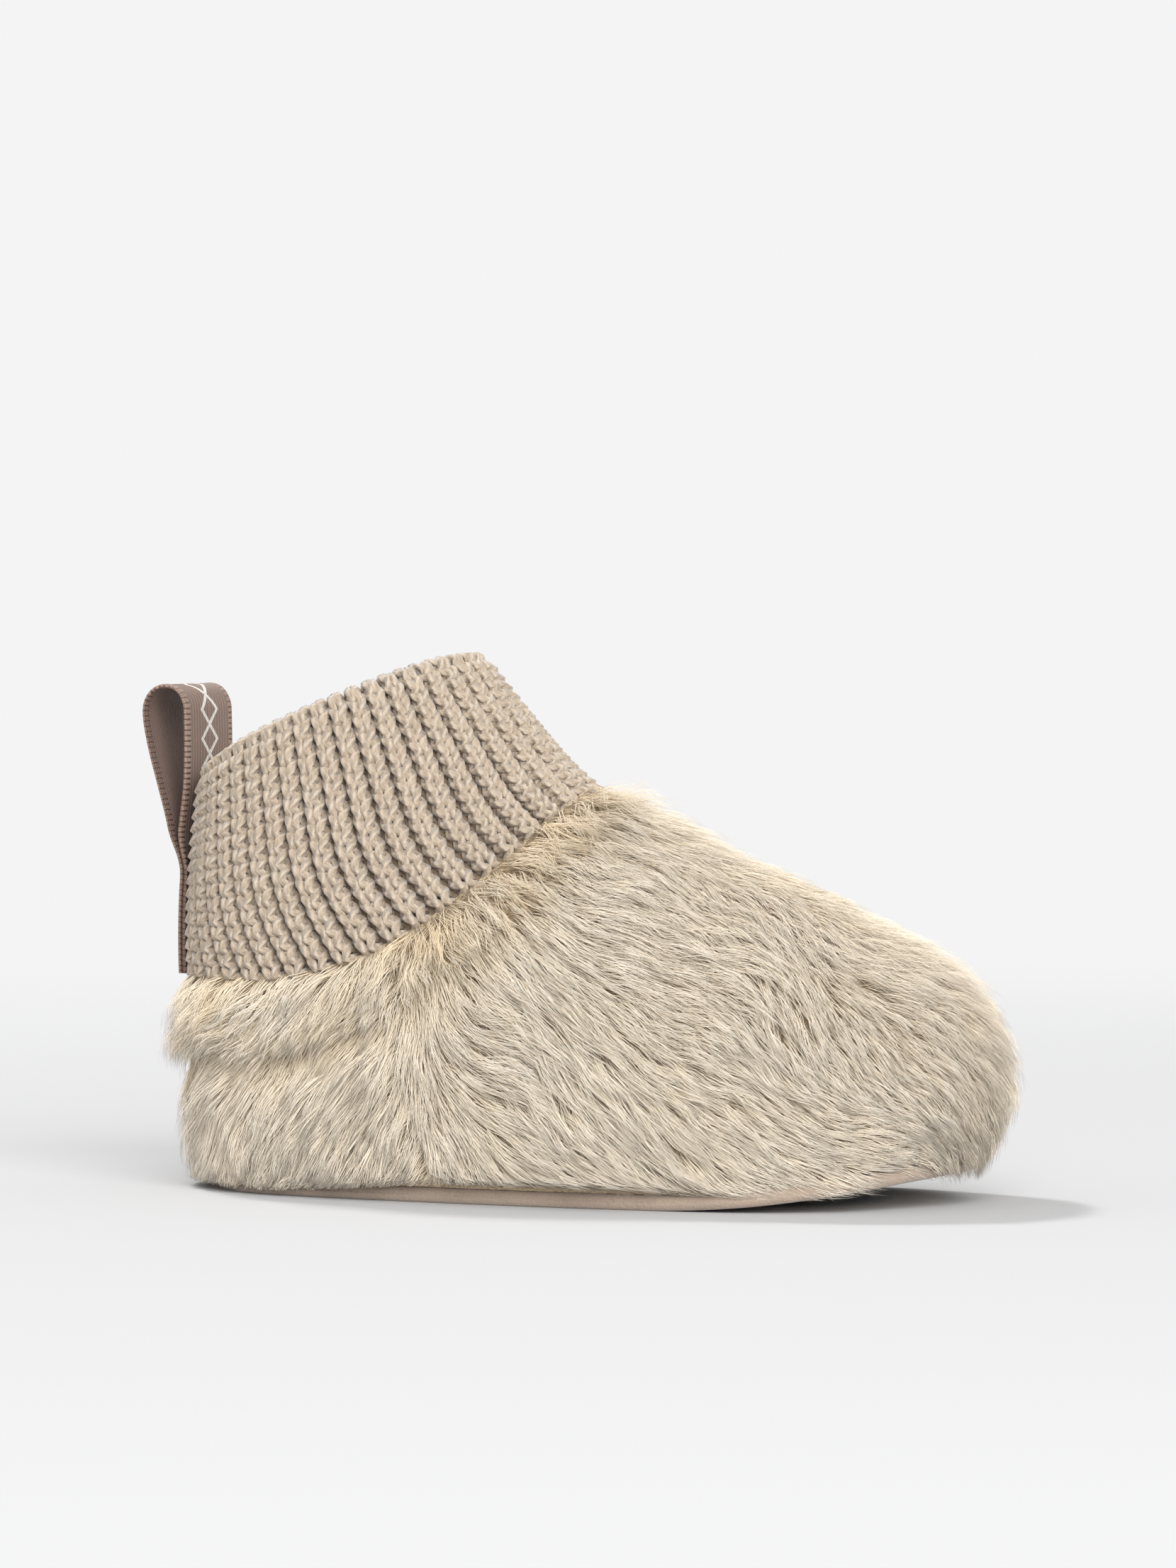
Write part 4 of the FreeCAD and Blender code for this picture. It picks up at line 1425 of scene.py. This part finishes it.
    def build(self) -> list[Object]:
        """Builds the cuff's courses and a dark core between its faces, whose colour is painted shade seen
        through the stitches, riding on the bootie.

        Returns:
            The new pieces.
        """
        yarn = YarnFinish().build()
        grid, normal = self.courses_grid(300)
        tree = self.tree()
        made = []
        for name, first, end in (("wall", 0, 13), ("rim", 13, 20), ("inner", 20, int(self.courses))):
            guide = self.surface(f"cuff_knit_{name}", grid, normal)
            made.append(tree.grow(guide, yarn, first=first, courses=end - first))
        # The core's dark brown is painted shade, seen through the gaps between stitches.
        shade_core = ClothFinish("cuff_shade_core", (0.20, 0.14, 0.09), (0.30, 0.22, 0.15), 1800.0, 0.3 * MM).build()
        faces = [grid[:-1, ::4] - normal[:-1, ::4] * depth for depth in self.shade_core]
        made.append(dress(slab("cuff_knit_shade_core", *faces, closed=True), shade_core))
        return [settle(piece, "knit", "knit_cuff") for piece in made]


# ---------------------------------------------------------------- pull loop


@dataclass
class PullLoop:
    """A woven ribbon: two plies sewn down the back of the cuff, and the free loop above them."""

    last: Last
    width: float = 16.0
    ply: float = 0.55
    tail_level: float = 31.4
    outer_depth: float = -1.05
    inner_depth: float = -0.45
    meet_low: float = 46.0
    meet_high: float = 53.0
    step: float = 0.4
    bead: float = 0.07
    bead_length: float = 0.8
    border: float = 1.3
    hinge: float = -62.75
    back_leg: tuple[tuple[float, float], ...] = (
        (-62.9, 49.5), (-63.7, 54.0), (-65.2, 59.5), (-66.6, 64.5), (-67.5, 69.0),
    )
    crown: tuple[tuple[float, float], ...] = (
        (-67.4, 71.6), (-66.2, 73.4), (-64.2, 74.1), (-62.2, 73.5), (-61.0, 71.6),
    )
    front_leg: tuple[tuple[float, float], ...] = (
        (-60.8, 69.0), (-60.75, 64.5), (-60.9, 59.5), (-61.5, 54.5), (-62.15, 49.5),
    )

    @staticmethod
    def smooth(points: Array, step: float) -> Array:
        """A rounded line through points, at equal steps.

        Args:
            points: a few places on the line.
            step: the distance between points.

        Returns:
            Points of x and z.
        """
        dense = []
        padded = np.concatenate([2 * points[:1] - points[1:2], points, 2 * points[-1:] - points[-2:-1]])
        t = np.linspace(0, 1, 24, endpoint=False)[:, None]
        for a, b, c, d in zip(padded, padded[1:], padded[2:], padded[3:]):
            bend, twist = 2 * a - 5 * b + 4 * c - d, 3 * b - a - 3 * c + d
            dense.append(0.5 * (2 * b + (c - a) * t + bend * t**2 + twist * t**3))
        line = np.concatenate([*dense, points[-1:]])
        run = run_along(line)
        marks = np.linspace(0, run[-1], int(run[-1] / step) + 1)
        return np.stack([np.interp(marks, run, line[:, 0]), np.interp(marks, run, line[:, 1])], axis=1)

    def tail(self, depth: float) -> Array:
        """The line of a sewn ply at the middle of the back, going up.

        Args:
            depth: how far in from the last's surface.

        Returns:
            Points of x and z.
        """
        levels = np.linspace(self.tail_level, self.meet_low, 9)
        spots = self.last.on_back(np.zeros_like(levels), levels, depth)
        return spots[:, [0, 2]]

    def build(self) -> list[Object]:
        """Builds the ribbon, from the plies on the bootie up round the loop, and logs its length.

        Returns:
            The new pieces.
        """
        up, down = self.tail(self.outer_depth), self.tail(self.inner_depth)[::-1]
        line = self.smooth(np.concatenate([up, self.back_leg, self.crown, self.front_leg, down]), self.step)
        y = np.linspace(-self.width / 2, self.width / 2, int(self.width / self.step) + 1)
        shape = (len(line), len(y))
        across, x, z = (np.broadcast_to(values, shape) for values in (y, line[:, :1], line[:, 1:]))
        # The sewn plies wrap round the heel, and the free loop above them is flat.
        first_half = np.arange(len(line))[:, None] < len(line) / 2
        depth = np.broadcast_to(np.where(first_half, self.outer_depth, self.inner_depth), shape)
        low = np.clip(z, self.tail_level - 1, self.meet_high)
        wrapped = (self.last.on_back(across, low, depth) - self.last.on_back(0 * across, low, depth))[..., 0]
        share = ease(part(z, self.meet_high, self.meet_low))
        spots = np.stack([x + wrapped * share, across, z], axis=-1)
        normal = unit(np.cross(np.gradient(spots, axis=1), np.gradient(spots, axis=0)))
        run = run_along(line)
        edge = part(np.abs(across), self.width / 2 - self.border, self.width / 2 - self.border + 0.3)
        beads = edge * self.bead * (0.4 + 0.6 * np.sin(TURN * run / self.bead_length)[:, None] ** 2)
        thin = 0.5 * (self.ply - 0.2) * (np.abs(across) > self.width / 2 - 0.01)
        half = (self.ply / 2 + beads - thin)[..., None]
        flipped = normal[0, len(y) // 2, 0] > 0
        outward = -normal if flipped else normal
        order = slice(None, None, -1 if flipped else 1)
        piece = slab("pull_ribbon", (spots + outward * half)[order], (spots - outward * half)[order])
        along = np.broadcast_to(run[:, None], shape)
        faces = [np.stack([across * MM, along * MM, np.full(shape, face)], axis=-1) for face in (0.0, 1.0)]
        store_vectors(piece, "weave", np.concatenate([face[order].reshape(-1, 3) for face in faces]))
        dress(piece, RibbonFinish().build())
        foot, head = ((self.hinge * MM, 0.0, level * MM) for level in (self.meet_low, self.meet_high))
        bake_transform(piece)
        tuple(foot)
        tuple(head)
        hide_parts("pull_loop", "loop_tail")
        LOG.info("ribbon %.1f mm long", run[-1])
        return [piece]


# ---------------------------------------------------------------- sole, lining and hidden parts


@dataclass
class Sole:
    """The suede sole, turned up at the toe, and the fleece insole above it."""

    last: Last
    heel: tuple[float, float] = (-34.5, 22.5)
    toe: tuple[float, float] = (32.0, 28.0)
    side: float = 260.0
    thick: float = 2.2
    foam: float = 3.0
    fleece: float = 4.0
    insole_fit: float = 7.3
    points: int = 240

    def outline(self, inset: float) -> Array:
        """The sole's outline, moved in, as points going round.

        Args:
            inset: how far in, in millimetres.

        Returns:
            Points of x and y.
        """
        (heel_x, heel_r), (toe_x, toe_r), side_r = self.heel, self.toe, self.side
        heel_r, toe_r, side_r = heel_r - inset, toe_r - inset, side_r - inset
        to_heel, to_toe, apart = side_r - heel_r, side_r - toe_r, toe_x - heel_x
        along = (to_heel**2 - to_toe**2 + apart**2) / (2 * apart)
        centre = np.array([heel_x + along, -math.sqrt(to_heel**2 - along**2)])
        toe_turn = math.atan2(-centre[1], toe_x - centre[0])
        heel_turn = math.atan2(-centre[1], heel_x - centre[0])
        parts = []
        for middle, radius, start, end in (
            (np.array([toe_x, 0.0]), toe_r, -toe_turn, toe_turn),
            (centre, side_r, toe_turn, heel_turn),
            (np.array([heel_x, 0.0]), heel_r, heel_turn, TURN - heel_turn),
            (-centre * [-1, 1], side_r, -heel_turn, -toe_turn),
        ):
            turn = np.linspace(start, end, self.points // 4, endpoint=False)
            parts.append(middle + radius * np.stack([np.cos(turn), np.sin(turn)], axis=1))
        return np.concatenate(parts)

    def plate(self, name: str, inset: float, low: float, thick: float, edge: float) -> Object:
        """A plate that follows the sole's curve, with a rounded edge.

        Args:
            name: the piece's name.
            inset: how far inside the sole's outline it ends.
            low: height of its underside above the outsole's upper face.
            thick: its thickness.
            edge: how far the rounding of its edge reaches.

        Returns:
            The new piece.
        """
        steps = [13.0, 9.0, 5.0, 2.5, *(edge * (1 - math.sin(a)) for a in np.linspace(0, math.pi / 2, 7))]
        rings = []
        for side, step in [(1, step) for step in steps] + [(-1, step) for step in steps[::-1]]:
            flat = self.outline(inset + step)
            share = math.sqrt(max(0.0, 1 - (1 - min(step, edge) / edge) ** 2))
            middle = self.last.sole_top(flat[:, 0]) + low + thick / 2
            rings.append(np.column_stack([flat, middle + side * thick / 2 * share]))
        grid = np.array(rings)[:, ::-1]
        count = grid.shape[1]
        starts = [n * count for n in range(len(rings))]
        faces = grid_faces(len(rings), count).tolist()
        faces += [[a + count - 1, b + count - 1, b, a] for a, b in zip(starts, starts[1:])]
        faces += [list(range(count))[::-1], [starts[-1] + n for n in range(count)]]
        return new_piece(name, grid.reshape(-1, 3), [face[::-1] for face in faces])

    def build(self, curls: "Fleece") -> list[Object]:
        """Builds the sole and the insole with its curls.

        Args:
            curls: the fleece that lies on it.

        Returns:
            The new pieces.
        """
        colours = (0.27, 0.20, 0.15), (0.46, 0.36, 0.28)
        suede = ClothFinish("sole_suede", *colours, 2600.0, 0.25 * MM, roughness=0.95, sheen=0.5, patch=150.0)
        sole = self.plate("suede_sole", 0.0, -self.thick, self.thick, 0.8)
        insole = self.plate("fleece_insole", self.insole_fit, self.foam, self.fleece, 1.6)
        settle(dress(sole, suede.build()), "suede", "outsole")
        settle(dress(insole, curls.ground), "fleece", "insole_fleece")
        return [sole, insole, curls.on_insole(self)]


@dataclass
class Fleece:
    """The curly lining: thin closed panels with short curls that grow inwards."""

    last: Last
    tree: Tree
    outer: float = 5.0
    inner: float = 6.3
    curl: float = 2.4
    height: float = 1.2
    width: float = 0.13 * MM

    def __post_init__(self) -> None:
        """Makes the two finishes."""
        cloth = ClothFinish("fleece_ground", (0.62, 0.54, 0.42), (0.80, 0.73, 0.60), 1500.0, 0.4 * MM)
        self.ground = cloth.build()
        self.hair = FurFinish((0.70, 0.60, 0.46), (0.93, 0.87, 0.76), (0.86, 0.76, 0.6)).build()
        self.hair.name = "fleece_curls"

    def curls(self, name: str, spots: Array, up: Array, density: float, seed: int) -> Object:
        """Grows curls on a grid of places.

        Args:
            name: the piece's name.
            spots: columns by rows by xyz, seen from behind.
            up: the way that the curls stand there.
            density: curls on a square metre.
            seed: which random draws they take.

        Returns:
            The new piece.
        """
        swirl = np.stack([waves(spots, 2.2, shift) for shift in (1.1, 4.4, 7.7)], axis=-1)
        flow = unit(swirl - up * np.sum(swirl * up, axis=-1, keepdims=True))
        form = np.broadcast_to([self.curl * MM, self.height * MM, 0.0], spots.shape)
        mood = np.broadcast_to([0.25, 0.7, 0.0], spots.shape)
        piece = new_piece(name, spots.reshape(-1, 3), grid_faces(*spots.shape[:2])[:, ::-1])
        for label, values in (("up", up), ("flow", flow), ("form", form), ("mood", mood)):
            store_vectors(piece, label, values)
        return self.tree.grow(piece, self.hair, density=density, width=self.width, seed=seed)

    def on_insole(self, sole: Sole) -> Object:
        """The curls on the insole's upper side.

        Args:
            sole: the sole.

        Returns:
            The new piece.
        """
        rings = np.array([sole.outline(sole.insole_fit + step) for step in (1.0, 4.0, 7.0, 10.0, 13.0, 15.0)])
        rings = np.concatenate([rings, rings[:, :1]], axis=1)
        top = self.last.sole_top(rings[..., 0]) + sole.foam + sole.fleece
        spots = np.concatenate([rings, top[..., None]], axis=-1)
        up = np.broadcast_to([0.0, 0.0, 1.0], spots.shape)
        return settle(self.curls("insole_curls", spots, up, 2.2e6, 77), "fleece")

    def build(self) -> list[Object]:
        """Builds the lining of each panel, riding on the bootie.

        Returns:
            The new pieces.
        """
        made = []
        for number, cut in enumerate(Cut):
            turn, level = self.last.panel_grid(cut, (cut.first, 1.0), 60, 24, 0.16)
            outer, inner = (self.last.points(turn, level, depth) for depth in (self.outer, self.inner))
            node = cut.called("lining")
            cloth = dress(slab(f"{node}_cloth", outer, inner), self.ground)
            inward = -self.last.normals(turn, level, self.inner)
            curls = self.curls(f"{node}_curls", inner, inward, 1.4e6, 31 + number)
            made += [settle(piece, "fleece", node) for piece in (cloth, curls)]
        return made


def make_label(last: Last) -> Object:
    """A small blank woven label inside the heel.

    Args:
        last: the form.

    Returns:
        The new piece.
    """
    y, z = np.meshgrid(np.linspace(7.0, -7.0, 25), np.linspace(19.0, 28.0, 17), indexing="ij")
    satin = ClothFinish("label_satin", (0.72, 0.69, 0.63), (0.88, 0.86, 0.81), 4000.0, 0.15 * MM, 0.5, 0.3)
    piece = dress(slab("blank_label", last.on_back(y, z, 7.1), last.on_back(y, z, 7.5)), satin.build())
    return settle(piece, "label", "inner_label")


def dress_hidden(nodes: dict[str, Object]) -> None:
    """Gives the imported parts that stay, stuffing and thread, their own finishes.

    Args:
        nodes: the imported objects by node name.
    """
    thread = (3000.0, 0.2 * MM, 0.6)
    kinds = (
        (ClothFinish("wadding_fibre", (0.74, 0.73, 0.70), (0.92, 0.91, 0.88), 900.0, 0.6 * MM),
         "vamp_wadding"),
        (ClothFinish("open_foam", (0.66, 0.64, 0.58), (0.86, 0.84, 0.78), 1600.0, 0.5 * MM), "sole_foam"),
        (ClothFinish("needled_felt", (0.52, 0.49, 0.45), (0.74, 0.71, 0.66), 1400.0, 0.4 * MM),
         "heel_stiffener"),
        (ClothFinish("upper_thread", (0.52, 0.42, 0.30), (0.74, 0.65, 0.52), *thread),
         "side_stitches_left", "side_stitches_right", "back_stitches", "topline_stitches"),
        (ClothFinish("sole_thread", (0.34, 0.27, 0.20), (0.52, 0.43, 0.34), *thread), "sole_stitches"),
        (ClothFinish("ribbon_thread", (0.34, 0.28, 0.24), (0.50, 0.43, 0.37), *thread), "loop_bartack"),
    )
    for cloth, *names in kinds:
        finish = cloth.build()
        for name in names:
            for place in range(len(nodes[name].data.materials)):
                nodes[name].data.materials[place] = finish


# ---------------------------------------------------------------- the whole


SKY = 0.905
SKY_LIGHT = 0.73
FLOOR = (0.525, 0.525, 0.53, 1)
FLOOR_HALF = 1.5
FADE = (0.2, 0.75)


def set_stage() -> None:
    """The pale seamless floor and the even backdrop, which lights the bootie less than it shows."""
    scene = bpy.context.scene
    scene.view_settings.view_transform = "Standard"
    scene.world = bpy.data.worlds.new("studio")
    scene.world.use_nodes = True
    graph = Graph(scene.world.node_tree)
    seen = graph.out("ShaderNodeLightPath", output="Is Camera Ray")
    strength = seen * (1.0 - SKY_LIGHT) + SKY_LIGHT
    sky = graph.out("ShaderNodeBackground", None, {0: (SKY, SKY, SKY, 1), 1: strength})
    graph.add("ShaderNodeOutputWorld", None, {0: sky})
    corners = [(x * FLOOR_HALF, y * FLOOR_HALF, 0) for x, y in ((-1, -1), (1, -1), (1, 1), (-1, 1))]
    floor = new_piece("floor", corners, [(0, 1, 2, 3)], 1.0)
    paper = Material("paper")
    away = paper.out("ShaderNodeVectorMath", {"operation": "LENGTH"}, {0: paper.place()}, "Value")
    fade = paper.ramp(away, *FADE, 1.0, 0.0, smooth=True)
    dress(floor, paper.finish(Base_Color=FLOOR, Roughness=1.0, Alpha=fade))


def add_looking(thing: Object, place: Vector, height: float) -> None:
    """Puts a lamp or a camera at a place, looking at a height above the origin, into the scene.

    Args:
        thing: the lamp or camera.
        place: where it is, in metres.
        height: the height it looks at.
    """
    thing.location = place
    thing.rotation_euler = (Vector((0, 0, height)) - place).to_track_quat("-Z", "Y").to_euler()
    bpy.context.scene.collection.objects.link(thing)


def add_camera() -> None:
    """A long lens, low and to the bootie's right side."""
    turn, distance, height, aim = math.radians(23.0), 1.2, 0.092, 0.060
    camera = bpy.data.objects.new("camera", bpy.data.cameras.new("camera"))
    camera.data.lens, camera.data.sensor_width = 188.0, 36.0
    camera.data.shift_x = 0.0036
    add_looking(camera, Vector((math.sin(turn) * distance, -math.cos(turn) * distance, height)), aim)
    bpy.context.scene.camera = camera


def add_light(name: str, place: tuple[float, float, float], size: float, power: float) -> None:
    """A square soft light that looks at the bootie.

    Args:
        name: the light's name.
        place: where it is, in metres.
        size: its side, in metres.
        power: its power, in watts.
    """
    lamp = bpy.data.objects.new(name, bpy.data.lights.new(name, "AREA"))
    lamp.data.size, lamp.data.energy = size, power
    add_looking(lamp, Vector(place), 0.03)


def main() -> None:
    """Builds every piece in order."""
    logging.basicConfig(level=logging.INFO, format="%(name)s %(message)s")
    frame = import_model()
    last = Last()
    upper = FurUpper(last)
    made = upper.build()
    made += KnitCuff(last).build()
    made += PullLoop(last).build()
    curls = Fleece(last, upper.pile.tree())
    made += curls.build()
    made += Sole(last).build(curls)
    made.append(make_label(last))
    dress_hidden(frame["nodes"])
    for piece in made:
        LOG.info("%s %d triangles", piece.name, sum(len(face.vertices) - 2 for face in piece.data.polygons))
    set_stage()
    add_camera()
    add_light("key", (-1.0, 0.65, 1.6), 0.22, 22.0)
    add_light("fill", (1.1, -1.55, 0.95), 1.6, 56.0)


if __name__ == "__main__":
    main()
